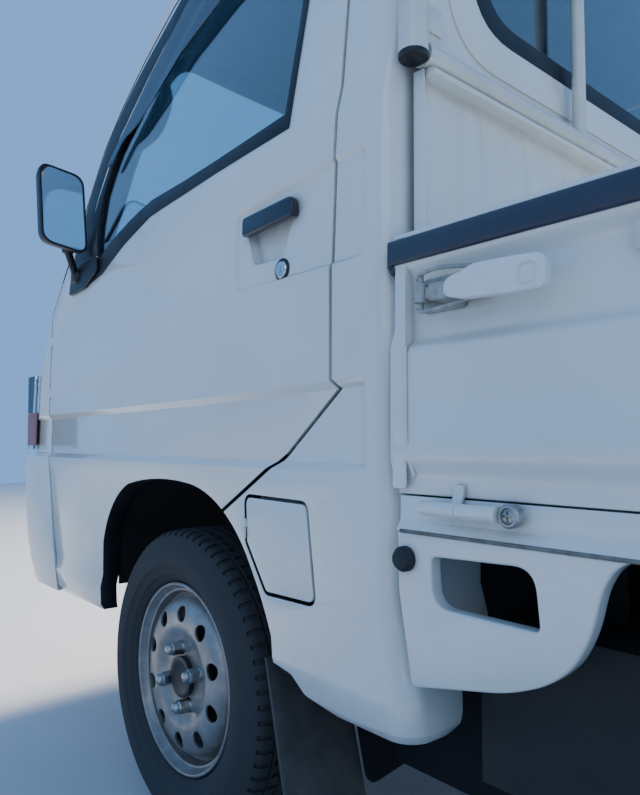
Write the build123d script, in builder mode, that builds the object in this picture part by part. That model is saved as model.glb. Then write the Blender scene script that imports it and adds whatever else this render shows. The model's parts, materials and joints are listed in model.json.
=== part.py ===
from build123d import *
from math import cos, radians, sin
import os

os.makedirs("parts", exist_ok=True)

# Small drop-side truck with its cab over the front wheels, in millimetres.
# +Z is up, the front faces -Y and the vehicle's left side is +X.
# The origin is on the floor, under the middle of the vehicle's box.
# A station is a distance behind the front axle.

# Overall sizes
length = 3395.0
width = 1475.0
height = 1815.0
wheelbase = 1885.0
front_overhang = 895.0
track = 1290.0

# Wheels and tyres
tyre_radius = 265.0
tyre_width = 147.0
rim_radius = 166.0
rim_width = 114.0
rim_offset = 45.0
rim_wall = 5.0
disc_thick = 4.0
lug_circle = 100.0
lug_count = 4
lug_hole = 12.4
lug_turn = 17.0
hub_cap = 33.0
hub_cap_reach = 9.0
hub_flange = 66.0
vent_count = 10
vent_hole = 29.0
vent_circle = 230.0

# Steering axes, leaning inwards towards their tops
kingpin_low_x = 590.0
kingpin_low_z = 190.0
kingpin_high_x = 500.0
kingpin_high_z = 640.0
strut_radius = 42.0

# Cab
cab_front = -868.0
cab_rear = 558.0
cab_bottom = 338.0
belt_z = 1137.0
roof_edge_z = 1706.0
rear_corner = 35.0
front_bow = 45.0
wall = 36.0
glass = 5.0
glass_depth = 9.0
seat_gap = 0.3
footwell_z = 400.0
seat_box_z = 640.0
pan = 22.0
floor_front = -828.0
bumper_thick = 14.0
bumper_top = 655.0

# Doors
door_gap = 6.5
door_front = -622.0
door_top = 1684.0
door_skin = 14.0
door_step = 12.0
door_pin = 2.5
door_hinge_back = 3.0
door_hinge_heights = (830.0, 960.0)
pin_length = 30.0
recess_depth = 4.5
band_depth = 9.0
cup_depth = 22.0

# Fuel filler lid
lid_gap = 5.6
lid_pin = 2.5
lid_thick = 12.0
lid_corner = 10.0

# Bed
deck_z = 660.0
deck_thick = 12.0
deck_rib_pitch = 110.0
deck_rib_count = 11
bed_front = 565.0
side_front = 573.0
sill_low = 588.0
beam_low = 590.0
beam_wide = 44.0
beam_pitch = 315.0
skirt_thick = 20.0

# Gates and their hinges
gate_front = 569.0
gate_bottom = 635.0
gate_top = 944.0
gate_thick = 24.0
gate_dish = 14.5
gate_rail = 36.0
gate_rail_in = 8.0
gate_post = 19.0
gate_clear = 6.0
gate_hinge_z = 618.0
gate_hinge_out = 9.0
barrel_radius = 8.5
barrel_length = 50.0
side_hinges = (670.0, 1210.0, 1750.0, 2290.0)
tail_hinges = (-450.0, 0.0, 450.0)

# Headboard and guard frame behind the cab
board_thick = 8.0
board_rib_pitch = 108.0
board_rib_count = 12
board_flange = 26.0
post_radius = 19.0
post_x = 705.0
guard_y = 586.0
guard_low = 1176.0
guard_top = 1760.0
guard_bar_x = 311.0
guard_bar_radius = 11.0
bar_z = 1181.0
bar_radius = 16.0

# Chassis
rail_x = 330.0
rail_wide = 50.0
rail_deep = 80.0
rail_front = -790.0
cross_wide = 50.0
cross_by_axle = 420.0
eye_radius = 14.0
eye_plate = 12.0
engine_front = 260.0
engine_back = 110.0
tail_clear = 110.0
silencer_radius = 70.0
flap_x = 648.0
flap_wide = 148.0
flap_back = 290.0

half_width = width / 2
front_axle_y = -length / 2 + front_overhang
rear_axle_y = front_axle_y + wheelbase
rear_end = length - front_overhang
tail_face = rear_end - gate_hinge_out - barrel_radius
frame_rear = tail_face - 40.0
bed_rear = tail_face - 30.0
axle_z = tyre_radius
wheel_x = track / 2
disc_x = wheel_x + rim_offset
rail_high = footwell_z - seat_gap
rail_low = rail_high - rail_deep
rail_out = rail_x + rail_wide / 2


def st(behind):
    """Place along Y of a station."""
    return front_axle_y + behind


def stations(points):
    """Side view points (station, height) as (y, z)."""
    return [(st(s), z) for s, z in points]


def save(part, label):
    """Name a finished piece and write it."""
    part.label = label
    export_step(part, f"parts/{label}.step")


def save_pair(part, label):
    """Write a left piece and its mirror image on the right."""
    save(part, f"{label}_left")
    save(mirror(part, about=Plane.YZ), f"{label}_right")


def prism(plane, points, depth, corner=0.0):
    """Solid of a closed outline on a plane, depth along the plane's normal."""
    with BuildPart() as solid:
        with BuildSketch(plane) as outline:
            with BuildLine():
                Polyline(*points, close=True)
            make_face()
            if corner > 0:
                fillet(outline.vertices(), corner)
        extrude(amount=depth)
    return solid.part


def block(low, high):
    """Plain block between two corners."""
    size = [high[i] - low[i] for i in range(3)]
    middle = [(high[i] + low[i]) / 2 for i in range(3)]
    with BuildPart() as solid:
        with Locations(tuple(middle)):
            Box(*size)
    return solid.part


def rod(start, end, radius):
    """Round bar between two points."""
    axis = Vector(*end) - Vector(*start)
    with BuildPart() as solid:
        with BuildSketch(Plane(origin=start, z_dir=axis)):
            Circle(radius)
        extrude(amount=axis.length)
    return solid.part


def joined(*pieces):
    """Several solids as one piece."""
    with BuildPart() as whole:
        for piece in pieces:
            add(piece)
    return whole.part


def cut(body, *tools):
    """A body less its cutters."""
    with BuildPart() as whole:
        add(body)
        for tool in tools:
            add(tool, mode=Mode.SUBTRACT)
    return whole.part


def common(body, tool):
    """What two solids share."""
    with BuildPart() as whole:
        add(body)
        add(tool, mode=Mode.INTERSECT)
    return whole.part


# Cab form
# Plan sections: height, half width, front station behind the nose, front corner radius, rear station behind
# the cab's back. The sill flares at its foot and the sides lean in above the belt.
upper_lean = (half_width - 632.0) / (1750.0 - belt_z)


def half_at(z):
    """Half width of the cab at a height above its belt."""
    return half_width - (z - belt_z) * upper_lean


cab_sections = (
    (cab_bottom, half_width - 10, 4, 150.0, 27),
    (350.0, half_width - 2, 4, 150.0, 34),
    (385.0, half_width, 3, 150.0, 33),
    (412.0, half_width - 5, 3, 150.0, 26),
    (503.0, half_width - 3, 2, 150.0, 0),
    (650.0, half_width, 0, 150.0, 0),
    (860.0, half_width, 12, 150.0, 0),
    (1010.0, half_width, 80, 145.0, 0),
    (1076.0, half_width, 140, 130.0, 0),
    (belt_z, half_width, 208, 120.0, 0),
    (1293.0, half_at(1293.0), 275, 100.0, 0),
    (1420.0, half_at(1420.0), 317, 95.0, 0),
    (1570.0, half_at(1570.0), 422, 95.0, 0),
    (1700.0, half_at(1700.0), 558, 95.0, 0),
    (1850.0, half_at(1850.0), 728, 95.0, 0),
)
roof_drop = 130.0


def cab_form(inset):
    """Cab as a filled form, moved in by inset all round."""
    with BuildPart() as form:
        for z, half, nose, corner, tail in cab_sections:
            with BuildSketch(Plane.XY.offset(z - (abs(inset) if z == cab_bottom else 0))) as plan:
                side = half - inset
                shoulder = st(cab_front + nose + front_bow) + inset
                back = st(cab_rear + tail) - inset
                with BuildLine():
                    Polyline((-side, shoulder), (-side, back), (side, back), (side, shoulder))
                    ThreePointArc((-side, shoulder), (0, st(cab_front + nose) + inset), (side, shoulder))
                make_face()
                fillet(plan.vertices().group_by(Axis.Y)[0], corner - inset)
                fillet(plan.vertices().group_by(Axis.Y)[-1], max(2.0, rear_corner - inset))
        loft(ruled=True)
        with BuildSketch(Plane.XZ.offset(-st(cab_rear) - 50)):
            with BuildLine():
                Polyline((-width, 0), (width, 0), (width, height - roof_drop - inset))
                ThreePointArc((width, height - roof_drop - inset), (0, height - inset),
                              (-width, height - roof_drop - inset))
                Line((-width, height - roof_drop - inset), (-width, 0))
            make_face()
        extrude(amount=length, mode=Mode.INTERSECT)
        with BuildSketch(Plane.YZ.offset(-width)):
            with BuildLine():
                Polyline((st(-1000), 0), (st(-1000), 1600 - inset), (st(-372), 1690 - inset))
                ThreePointArc((st(-372), 1690 - inset), (st(-220), 1786 - inset), (st(20), height - inset))
                Polyline((st(20), height - inset), (st(600), height - 14 - inset), (st(600), 0),
                         (st(-1000), 0))
            make_face()
        extrude(amount=2 * width, mode=Mode.INTERSECT)
    return form.part


def side_prism(points, grow=0.0, corner=0.0, low_x=300.0):
    """Prism of a side outline through the left wall, grown by a gap all round."""
    with BuildPart() as solid:
        with BuildSketch(Plane.YZ.offset(low_x)) as outline:
            with BuildLine():
                Polyline(*stations(points), close=True)
            make_face()
            if corner > 0:
                fillet(outline.vertices(), corner)
            if grow != 0:
                offset(amount=grow, kind=Kind.INTERSECTION)
        extrude(amount=600)
    return solid.part


def recess(points, depth, slope, corner):
    """Cutter of a recess with sloping ledges in the cab's left side."""
    inward = Plane(origin=(half_width, 0, 0), x_dir=(0, 1, 0), z_dir=(-1, 0, 0))
    with BuildPart() as hollow:
        with BuildSketch(inward) as outline:
            with BuildLine():
                Polyline(*[(y, -z) for y, z in stations(points)], close=True)
            make_face()
            fillet(outline.vertices(), corner)
        extrude(amount=depth, taper=slope)
    return hollow.part


# Pressed recesses of the sides: round the handle, under it for the fingers, and along the sill
handle_points = ((218, 930), (520, 930), (520, 1080), (218, 1058))
cup_points = ((242, 1032), (264, 966), (338, 962), (372, 1032))
band_points = ((-760, 653), (519, 653), (519, 775), (116, 765), (-760, 757))
pressings = [recess(handle_points, recess_depth, 45, 20), recess(band_points, band_depth, 50, 5),
             recess(cup_points, cup_depth, 12, 12)]
pressings += [mirror(hollow, about=Plane.YZ) for hollow in pressings]

outer = cut(cab_form(0.0), *pressings)
inner = cab_form(wall)
shell = cut(outer, inner)
glass_shell = cut(cab_form(glass_depth), cab_form(glass_depth + glass))

# Outlines in the side view, as (station, height)
arch_front = -278.0
arch_back = 332.0
arch_top = 624.0


def arch_cutter(grow):
    """Space of the front wheel arch, through both sides of the cab."""
    with BuildPart() as space:
        with BuildSketch(Plane.YZ.offset(-width)):
            with BuildLine():
                Polyline((st(arch_back), 380), (st(arch_back), 150), (st(arch_front), 150),
                         (st(arch_front), 477))
                ThreePointArc((st(arch_front), 477), (st(-233), 560), (st(-159), 608))
                ThreePointArc((st(-159), 608), (st(-2), arch_top), (st(73), 620.5))
                ThreePointArc((st(73), 620.5), (st(187), 584), (st(271), 500))
                ThreePointArc((st(271), 500), (st(306), 442), (st(arch_back), 380))
            make_face()
            if grow > 0:
                offset(amount=grow)
        extrude(amount=2 * width)
    return space.part


arch = arch_cutter(0.0)

door_points = ((door_front, 1010), (-560, 1080), (-505, belt_z), (-464, 1266), (-424, 1394),
               (-366, 1478), (-286, 1560), (-175, 1645), (-100, door_top), (413, door_top), (430, 1500),
               (449, 1319), (463, 1177), (454, 1068), (448, 925), (449, 774), (458, 763), (346, 674),
               (188, 584), (100, 500), (-180, 500), (-240, cab_bottom - 50), (-500, cab_bottom - 50),
               (-563, 445), (-597, 584), (door_front, 690))
window_points = ((353, 1157), (148, 1149), (40, 1142), (-88, 1134), (-206, 1104), (-330, 1068),
                 (-400, 1046), (-440, 1060), (-400, 1264), (-362, 1370), (-300, 1440), (-218, 1520),
                 (-100, 1620), (-60, 1638), (340, 1638), (353, 1372))

door_region = side_prism(door_points)
door_room = side_prism(door_points, grow=door_gap)
door_rooms = (door_room, mirror(door_room, about=Plane.YZ))
window_region = side_prism(window_points, corner=10)

# The door's inner panel stops short of the skin's edge, which lets its corners swing past the body
door_edge = cut(door_region, side_prism(door_points, grow=-door_step))
edge_space = common(door_edge, cab_form(door_skin))

# Door hinges: a pin on the panel under one on the door, on an upright line at the skin
hinge_x = half_width - door_pin
hinge_y = st(door_front + door_hinge_back)
notch_radius = door_pin + 2.0


def door_pin_part(foot, top, radius):
    """Length of a door hinge between two heights."""
    return rod((hinge_x, hinge_y, foot), (hinge_x, hinge_y, top), radius)


panel_pins = []
for z in door_hinge_heights:
    panel_pins.append(door_pin_part(z - pin_length, z, door_pin))
    panel_pins.append(block((hinge_x - door_pin, st(door_front) - door_gap - 3, z - pin_length + 4),
                            (half_width, hinge_y, z - 4)))

# Doors: a skin and a set-back inner panel, with the window and the front of the wheel arch cut out
with BuildPart() as door:
    add(shell)
    add(door_region, mode=Mode.INTERSECT)
    add(edge_space, mode=Mode.SUBTRACT)
    add(window_region, mode=Mode.SUBTRACT)
    add(arch, mode=Mode.SUBTRACT)
    for z in door_hinge_heights:
        add(door_pin_part(z - pin_length - 4, z, notch_radius), mode=Mode.SUBTRACT)
    for z in door_hinge_heights:
        add(door_pin_part(z + seat_gap, z + pin_length, door_pin))
save_pair(door.part, "door")

with BuildPart() as door_glass:
    add(glass_shell)
    add(window_region, mode=Mode.INTERSECT)
save_pair(door_glass.part, "door_glass")

# Windscreen opening in the front view, as (half width, height)
screen_low = 1062.0
screen_high = 1655.0
screen_outline = [(-640, screen_low), (640, screen_low), (560, screen_high), (-560, screen_high)]
screen_region = prism(Plane.XZ.offset(-st(-120)), screen_outline, 900, corner=60)
with BuildPart() as windscreen:
    add(glass_shell)
    add(screen_region, mode=Mode.INTERSECT)
save(windscreen.part, "windscreen")

# Rear window in the rear wall
rear_window_outline = [(-565, 1290), (565, 1290), (565, 1640), (-565, 1640)]
rear_window_region = prism(Plane.XZ.offset(-st(cab_rear) - 20), rear_window_outline, 100, corner=80)
with BuildPart() as rear_window:
    add(glass_shell)
    add(rear_window_region, mode=Mode.INTERSECT)
save(rear_window.part, "rear_window")

# Front bumper, wrapped round the corners below the lamps as far back as the doors
# Plan sections: height, face station behind the nose, corner radius
bumper_sections = (
    (cab_bottom, 44, 140.0),
    (390.0, 18, 100.0),
    (456.0, 0, 80.0),
    (534.0, -17, 72.0),
    (620.0, -27, 66.0),
    (646.0, -26, 66.0),
    (bumper_top, -20, 66.0),
)
bumper_rear = -500.0


def bumper_form(grow):
    """Bumper as a filled form, grown by a gap at its top."""
    with BuildPart() as form:
        for z, face, corner in bumper_sections:
            with BuildSketch(Plane.XY.offset(z + (grow if z == bumper_top else 0))) as plan:
                shoulder = st(cab_front + face + front_bow) - grow
                with BuildLine():
                    Polyline((-half_width, shoulder), (-half_width, st(bumper_rear)),
                             (half_width, st(bumper_rear)), (half_width, shoulder))
                    ThreePointArc((-half_width, shoulder), (0, st(cab_front + face) - grow),
                                  (half_width, shoulder))
                make_face()
                fillet(plan.vertices().group_by(Axis.Y)[0], corner)
        loft(ruled=True)
    return form.part


bumper_body = cut(bumper_form(0.0), cab_form(bumper_thick), *door_rooms)
save(Part() + max(bumper_body.solids(), key=lambda piece: piece.volume), "front_bumper")

open_shell = cut(shell, screen_region, rear_window_region, arch)

# Front panel, wrapped round both corners as far as the doors, behind the bumper at its foot
front_region = block((-width, st(-1000), 0), (width, st(bumper_rear), screen_low + 23))
bumper_room = cut(bumper_form(seat_gap), cab_form(bumper_thick + seat_gap))
panel_body = cut(common(open_shell, front_region), bumper_room, *door_rooms)
with BuildPart() as front_panel:
    add(max(panel_body.solids(), key=lambda piece: piece.volume))
    for pin in panel_pins:
        add(pin)
        add(mirror(pin, about=Plane.YZ, mode=Mode.PRIVATE))
save(front_panel.part, "front_panel")

# Roof, with the windscreen's header
roof_region = block((-width, st(-700), roof_edge_z), (width, st(cab_rear + 50), height + 100))
save(common(open_shell, roof_region), "roof")

# Rear wall between the rear corners
rear_wall_x = 640.0
rear_region = block((-rear_wall_x, st(cab_rear) - wall, rail_high + seat_gap),
                    (rear_wall_x, st(cab_rear + 50), roof_edge_z))
save(common(open_shell, rear_region), "rear_wall")

# Body sides: windscreen pillar, cantrail, door post, quarter and sill
sill_points = ((300, 290), (326, 379), (372, 372), (401, 352), (464, cab_bottom - 1), (464, 290))
corner_round = 30.0
with BuildPart() as foot_round:
    with BuildSketch(Plane.XZ.offset(-st(cab_rear + 50))):
        with Locations((rear_wall_x, cab_bottom)):
            Rectangle(2 * corner_round, 2 * corner_round)
        with Locations((rear_wall_x + corner_round, cab_bottom + corner_round)):
            Circle(corner_round, mode=Mode.SUBTRACT)
    extrude(amount=120)
lid_points = ((258, 607), (401, 605), (417, 475), (309, 473), (260, 541))
lid_room = side_prism(lid_points, grow=lid_gap, corner=lid_corner, low_x=half_width - 30)
with BuildPart() as side:
    add(open_shell)
    add(block((0, st(-1000), 0), (width, st(cab_rear + 50), height + 100)), mode=Mode.INTERSECT)
    add(front_region, mode=Mode.SUBTRACT)
    add(roof_region, mode=Mode.SUBTRACT)
    add(block((-rear_wall_x, st(cab_rear) - wall, 0), (rear_wall_x, st(cab_rear + 50), roof_edge_z)),
        mode=Mode.SUBTRACT)
    add(door_room, mode=Mode.SUBTRACT)
    add(side_prism(sill_points), mode=Mode.SUBTRACT)
    add(foot_round.part, mode=Mode.SUBTRACT)
left_side = side.part
lid_x = half_width
lid_y = st(256.5)
lid_hinge_z = 560.0
side_pin = joined(rod((lid_x, lid_y, lid_hinge_z - 15), (lid_x, lid_y, lid_hinge_z), lid_pin),
                  block((lid_x - 5, st(248), lid_hinge_z - 13), (lid_x, lid_y, lid_hinge_z - 2)))
save(joined(cut(left_side, lid_room), side_pin), "cab_side_left")
save(mirror(left_side, about=Plane.YZ), "cab_side_right")

# Fuel filler lid, on the left side only
with BuildPart() as fuel_lid:
    add(outer)
    add(side_prism(lid_points, corner=lid_corner, low_x=half_width - lid_thick), mode=Mode.INTERSECT)
    add(rod((lid_x, lid_y, lid_hinge_z + seat_gap), (lid_x, lid_y, lid_hinge_z + 15), lid_pin))
    add(block((lid_x - 4, st(255), lid_hinge_z + 2), (lid_x, st(261), lid_hinge_z + 13)))
save(fuel_lid.part, "fuel_lid")

# Floor: footwell in front of the wheels and the box that carries the seats over them
floor_half = half_width - wall - 8
floor_rear = cab_rear - wall - seat_gap
box_front = -300.0
floor_points = stations(((floor_front, footwell_z), (box_front, footwell_z), (box_front, seat_box_z),
                         (floor_rear, seat_box_z), (floor_rear, seat_box_z + pan),
                         (box_front - pan, seat_box_z + pan), (box_front - pan, footwell_z + pan),
                         (floor_front, footwell_z + pan)))
floor_solid = prism(Plane.YZ.offset(-floor_half), floor_points, 2 * floor_half)
inside = cab_form(wall + seat_gap)
save(common(floor_solid, inside), "cab_floor")

# Wheel arch liners under the seat box, inside the doors' swing
liner_gap = 10.0
liner_low = 385.0
liner_in = 380.0
liner_out = 690.0
liner = common(cut(arch_cutter(seat_box_z - seat_gap - arch_top), arch_cutter(liner_gap)),
               block((liner_in, st(-350), liner_low), (liner_out, st(400), seat_box_z)))

# Headlamps at the front corners
lamp_low = 672.0
lamp_high = 866.0
lamp_corner = 50.0
lamp_rear = -718.0
lamp_inner_x = 430.0
with BuildPart() as lamps:
    for z, face in ((lamp_low, -2), (lamp_high, -14)):
        with BuildSketch(Plane.XY.offset(z)) as plan:
            shoulder = st(cab_front + face + front_bow)
            with BuildLine():
                Polyline((-half_width, shoulder), (-half_width, st(-600)), (half_width, st(-600)),
                         (half_width, shoulder))
                ThreePointArc((-half_width, shoulder), (0, st(cab_front + face)), (half_width, shoulder))
            make_face()
            fillet(plan.vertices().group_by(Axis.Y)[0], lamp_corner)
    loft(ruled=True)
    add(cab_form(-seat_gap), mode=Mode.SUBTRACT)
    add(block((-lamp_inner_x, st(-1000), lamp_low), (lamp_inner_x, st(-590), lamp_high)), mode=Mode.SUBTRACT)
    add(block((-width, st(lamp_rear), lamp_low), (width, st(-590), lamp_high)), mode=Mode.SUBTRACT)
save(lamps.part, "headlamps")

# Mirrors at the front tips of the door windows
mirror_y = -395.0
mirror_tilt = 4.5
mirror_seat = half_width + seat_gap
mirror_base = prism(Plane.YZ.offset(mirror_seat), stations(((-498, 1042), (-405, 1046), (-332, 1074),
                                                            (-340, 1112), (-478, 1112))), 7, corner=6)
with BuildPart() as mirror_head:
    with BuildSketch(Plane.XZ.offset(-st(mirror_y))) as face:
        with Locations((799, 1221)):
            RectangleRounded(110, 203, 22, rotation=-mirror_tilt)
    extrude(amount=48, taper=14)
    extrude(face.sketch, amount=-8)
mirror_arm = cut(rod((778, st(mirror_y - 22), 1142), (mirror_seat + 6, st(-452), 1084), 10),
                 block((600, st(-600), 1000), (mirror_seat, st(-300), belt_z)))
save_pair(joined(mirror_head.part, mirror_arm, mirror_base), "mirror")

# Outside door handles, standing on the floor of their recess over the cup
handle_thick = 15.0
flap_points = ((236, 1046), (351, 1060), (374, 1048), (371, 1019), (243, 1014))
handle_seat = half_width - recess_depth + seat_gap
handle = prism(Plane.YZ.offset(handle_seat), stations(flap_points), handle_thick, corner=6)
save_pair(handle, "door_handle")

# Seats: cushion and back on each side of the cab
seat_x = 340.0
cushion_wide = 470.0
cushion_low = seat_box_z + pan + seat_gap
seat_parts = []
for side_sign in (-1, 1):
    seat_plane = Plane.YZ.offset(side_sign * seat_x - cushion_wide / 2)
    cushion_points = stations(((-160, cushion_low), (314, cushion_low), (328, 770), (-170, 800)))
    back_points = stations(((318, cushion_low), (412, cushion_low), (480, 1400), (430, 1400)))
    seat_parts.append(prism(seat_plane, cushion_points, cushion_wide, corner=22))
    seat_parts.append(prism(seat_plane, back_points, cushion_wide, corner=18))
save(joined(*seat_parts), "seats")

# Dashboard across the cab, under the windscreen
dash_half = half_width - wall - 12
dash_points = stations(((-690, 1000), (-560, 1012), (-470, 930), (-500, 760), (-600, 740), (-700, 800)))
dash = prism(Plane.YZ.offset(-dash_half), dash_points, 2 * dash_half, corner=20)
save(common(dash, inside), "dashboard")

# Steering wheel and column on the right
steer_x = -340.0
steer_centre = (steer_x, st(-330), 1000.0)
steer_lean = 52.0
steer_axis = Vector(0, cos(radians(steer_lean)), sin(radians(steer_lean)))
steer_plane = Plane(origin=steer_centre, z_dir=steer_axis, x_dir=(1, 0, 0))
wheel_ring = 180.0
with BuildPart() as steering_wheel:
    with BuildSketch(Plane(origin=steer_centre, x_dir=(1, 0, 0), z_dir=steer_plane.y_dir)):
        with Locations((wheel_ring, 0)):
            Circle(13)
    revolve(axis=Axis(steer_centre, steer_axis), revolution_arc=360)
    with BuildSketch(steer_plane.offset(-30)):
        Circle(42)
    extrude(amount=36)
    with BuildSketch(steer_plane.offset(-10)):
        for angle in (0, 180, 270):
            with Locations(Rot(0, 0, angle) * Pos(wheel_ring / 2 + 10, 0)):
                Rectangle(wheel_ring - 20, 30)
    extrude(amount=10)
save(steering_wheel.part, "steering_wheel")

column_gap = 1.0
column_top = steer_plane.offset(-30 - column_gap).origin
column_low = steer_plane.offset(-330).origin
save(cut(rod(tuple(column_low), tuple(column_top), 28), dash), "steering_column")


# Chassis
def rail(x):
    """One side rail of the ladder frame."""
    return block((x - rail_wide / 2, st(rail_front), rail_low),
                 (x + rail_wide / 2, st(frame_rear), rail_high))


def tow_eye(station):
    """Plate with an eye under the left rail."""
    plate = block((rail_x - eye_plate / 2, st(station) - 30, rail_low - 52),
                  (rail_x + eye_plate / 2, st(station) + 30, rail_low + 1))
    hole = rod((rail_x - 20, st(station), rail_low - 26), (rail_x + 20, st(station), rail_low - 26),
               eye_radius)
    return cut(plate, hole)


cross_stations = (rail_front + 30, -cross_by_axle, cross_by_axle, 900.0, wheelbase - engine_front - 125,
                  frame_rear - 30)
frame_pieces = [rail(rail_x), rail(-rail_x), tow_eye(rail_front + 30), tow_eye(frame_rear - 30)]
for station in cross_stations:
    frame_pieces.append(block((-rail_x, st(station) - cross_wide / 2, rail_low + 10),
                              (rail_x, st(station) + cross_wide / 2, rail_high - 10)))
save(joined(*frame_pieces), "chassis_frame")

# Bed: sills and cross-beams under a ribbed deck
deck_half = half_width - gate_thick - gate_clear - 4
under = [block((s * rail_x - 25, st(bed_front + 30), rail_high + seat_gap),
               (s * rail_x + 25, st(bed_rear), beam_low + 10)) for s in (-1, 1)]
flap_beam = wheelbase + flap_back
beam_stations = [bed_front + 35 + i * beam_pitch for i in range(5)]
beam_stations += [flap_beam, bed_rear - beam_wide / 2 - 10]
for station in beam_stations:
    under.append(block((-deck_half, st(station) - beam_wide / 2, beam_low),
                       (deck_half, st(station) + beam_wide / 2, deck_z - deck_thick - seat_gap)))
save(joined(*under), "bed_underframe")

deck_pieces = [block((-deck_half, st(bed_front), deck_z - deck_thick), (deck_half, st(bed_rear), deck_z))]
for i in range(deck_rib_count):
    x = (i - (deck_rib_count - 1) / 2) * deck_rib_pitch
    deck_pieces.append(block((x - 26, st(bed_front + 48), deck_z - 1),
                             (x + 26, st(bed_rear - 40), deck_z + 5)))
save(joined(*deck_pieces), "bed_deck")

# Skirts under the bed's sides, behind the cab
skirt_points = ((578, sill_low - seat_gap), (580, 507), (594, 413), (691, 435), (763, 461), (804, 502),
                (825, 564), (848, sill_low - seat_gap))
skirt_hole = ((623, 556), (745, 567), (759, 552), (759, 509), (748, 506), (636, 514))
skirt_body = prism(Plane.YZ.offset(half_width - skirt_thick), stations(skirt_points), skirt_thick, corner=2)
skirt_opening = prism(Plane.YZ.offset(half_width - 2 * skirt_thick), stations(skirt_hole),
                      3 * skirt_thick, corner=8)
skirt = cut(skirt_body, skirt_opening)
save(joined(skirt, mirror(skirt, about=Plane.YZ)), "skirt_panels")

# Headboard at the front of the bed, pressed into upright ribs that fade out below its folded top edge
board_half = half_width - gate_thick - gate_rail_in - gate_clear
board_low = deck_z + seat_gap
board_high = bar_z - bar_radius - seat_gap
board_back = st(bed_front + 1 + board_thick)
rib_deep = 8.0
rib_foot = 27.0
rib_top = 17.0
with BuildPart() as headboard:
    with BuildSketch(Plane.XY.offset(board_low)):
        for i in range(board_rib_count):
            x = (i - (board_rib_count - 1) / 2) * board_rib_pitch
            with BuildLine():
                Polyline((x - rib_foot, board_back - 1), (x - rib_top, board_back + rib_deep),
                         (x + rib_top, board_back + rib_deep), (x + rib_foot, board_back - 1), close=True)
            make_face()
    extrude(amount=board_high - board_low)
    with BuildSketch(Plane.YZ.offset(-board_half)):
        with BuildLine():
            Polyline((board_back - 2, board_low), (board_back + rib_deep, board_low),
                     (board_back + rib_deep, 1108), (board_back - 2, 1146), close=True)
        make_face()
    extrude(amount=2 * board_half, mode=Mode.INTERSECT)
    with Locations((0, board_back - board_thick / 2, (board_low + board_high) / 2)):
        Box(2 * board_half, board_thick, board_high - board_low)
    with Locations((0, board_back + board_flange / 2 - 1, board_high - 6)):
        Box(2 * board_half, board_flange, 12)
save(headboard.part, "headboard")

# Guard frame of round tube
guard_station = st(guard_y)
with BuildPart() as hoop:
    with BuildLine():
        FilletPolyline((post_x, guard_station, guard_low), (post_x, guard_station, guard_top),
                       (-post_x, guard_station, guard_top), (-post_x, guard_station, guard_low), radius=70)
    with BuildSketch(Plane.XY.offset(guard_low)):
        with Locations((post_x, guard_station)):
            Circle(post_radius)
    sweep()
guard_pieces = [hoop.part, rod((-post_x, guard_station, bar_z), (post_x, guard_station, bar_z), bar_radius)]
for s in (-1, 1):
    guard_pieces.append(rod((s * guard_bar_x, guard_station, bar_z),
                            (s * guard_bar_x, guard_station, guard_top), guard_bar_radius))
    for low, high in ((1188, 1211), (1221, 1257)):
        guard_pieces.append(block((s * 669 - 16, guard_station - 14, low),
                                  (s * 669 + 16, guard_station - 2, high)))
    guard_pieces.append(block((s * 669 - 16, guard_station - 8, bar_z),
                              (s * 669 + 16, guard_station - 2, 1257)))
save(joined(*guard_pieces), "guard_frame")

# Gate hinges: a barrel on the bed beside one on the gate, on a line outside both
hinge_line_x = half_width + gate_hinge_out
sill_in = 6.5
foot_in = 8.5


def side_hinge(station):
    """Barrel with its leaf on the bed's side, and the one on the side gate."""
    y = st(station)
    fixed = joined(rod((hinge_line_x, y + seat_gap, gate_hinge_z),
                       (hinge_line_x, y + barrel_length, gate_hinge_z), barrel_radius),
                   block((half_width - sill_in - 1, y + seat_gap, gate_hinge_z - 7),
                         (hinge_line_x, y + barrel_length + 22, gate_hinge_z + 5)))
    swung = joined(rod((hinge_line_x, y - barrel_length, gate_hinge_z), (hinge_line_x, y, gate_hinge_z),
                       barrel_radius),
                   block((half_width + seat_gap, y - barrel_length + 5, gate_hinge_z),
                         (hinge_line_x, y - 5, gate_bottom + 16)),
                   block((half_width - foot_in - 1, y - barrel_length + 5, gate_bottom + 1),
                         (hinge_line_x, y - 5, gate_bottom + 16)))
    return fixed, swung


def sill(front, rear, inner_x):
    """Edge channel under a gate, between two places along Y."""
    points = ((inner_x, sill_low), (half_width, sill_low), (half_width, sill_low + 3),
              (half_width - sill_in, sill_low + 13), (half_width - sill_in, gate_bottom - gate_clear),
              (inner_x, gate_bottom - gate_clear))
    return prism(Plane.XZ.offset(-rear), points, rear - front)


def gate(front, rear):
    """Pressed gate with a rail on its top and a post at each end, between two places along Y."""
    inner_x = half_width - gate_thick
    dish_x = half_width - gate_dish
    points = ((half_width, gate_top), (half_width, 903), (dish_x, 885), (dish_x, 812), (half_width, 803),
              (half_width, 672), (half_width - foot_in, 654), (half_width - foot_in, gate_bottom),
              (inner_x, gate_bottom), (inner_x, gate_top - gate_rail),
              (inner_x - gate_rail_in, gate_top - gate_rail), (inner_x - gate_rail_in, gate_top))
    posts = [block((inner_x, y, gate_bottom + 26), (half_width, y + gate_post, gate_top - 1))
             for y in (front, rear - gate_post)]
    return joined(prism(Plane.XZ.offset(-rear), points, rear - front), *posts)


side_pairs = [side_hinge(station) for station in side_hinges]
bed_side = sill(st(side_front), st(bed_rear) - 4, deck_half + seat_gap)
save_pair(joined(bed_side, *[fixed for fixed, swung in side_pairs]), "bed_side")
side_gate = gate(st(gate_front), st(tail_face))
save_pair(joined(side_gate, *[swung for fixed, swung in side_pairs]), "side_gate")

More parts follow.
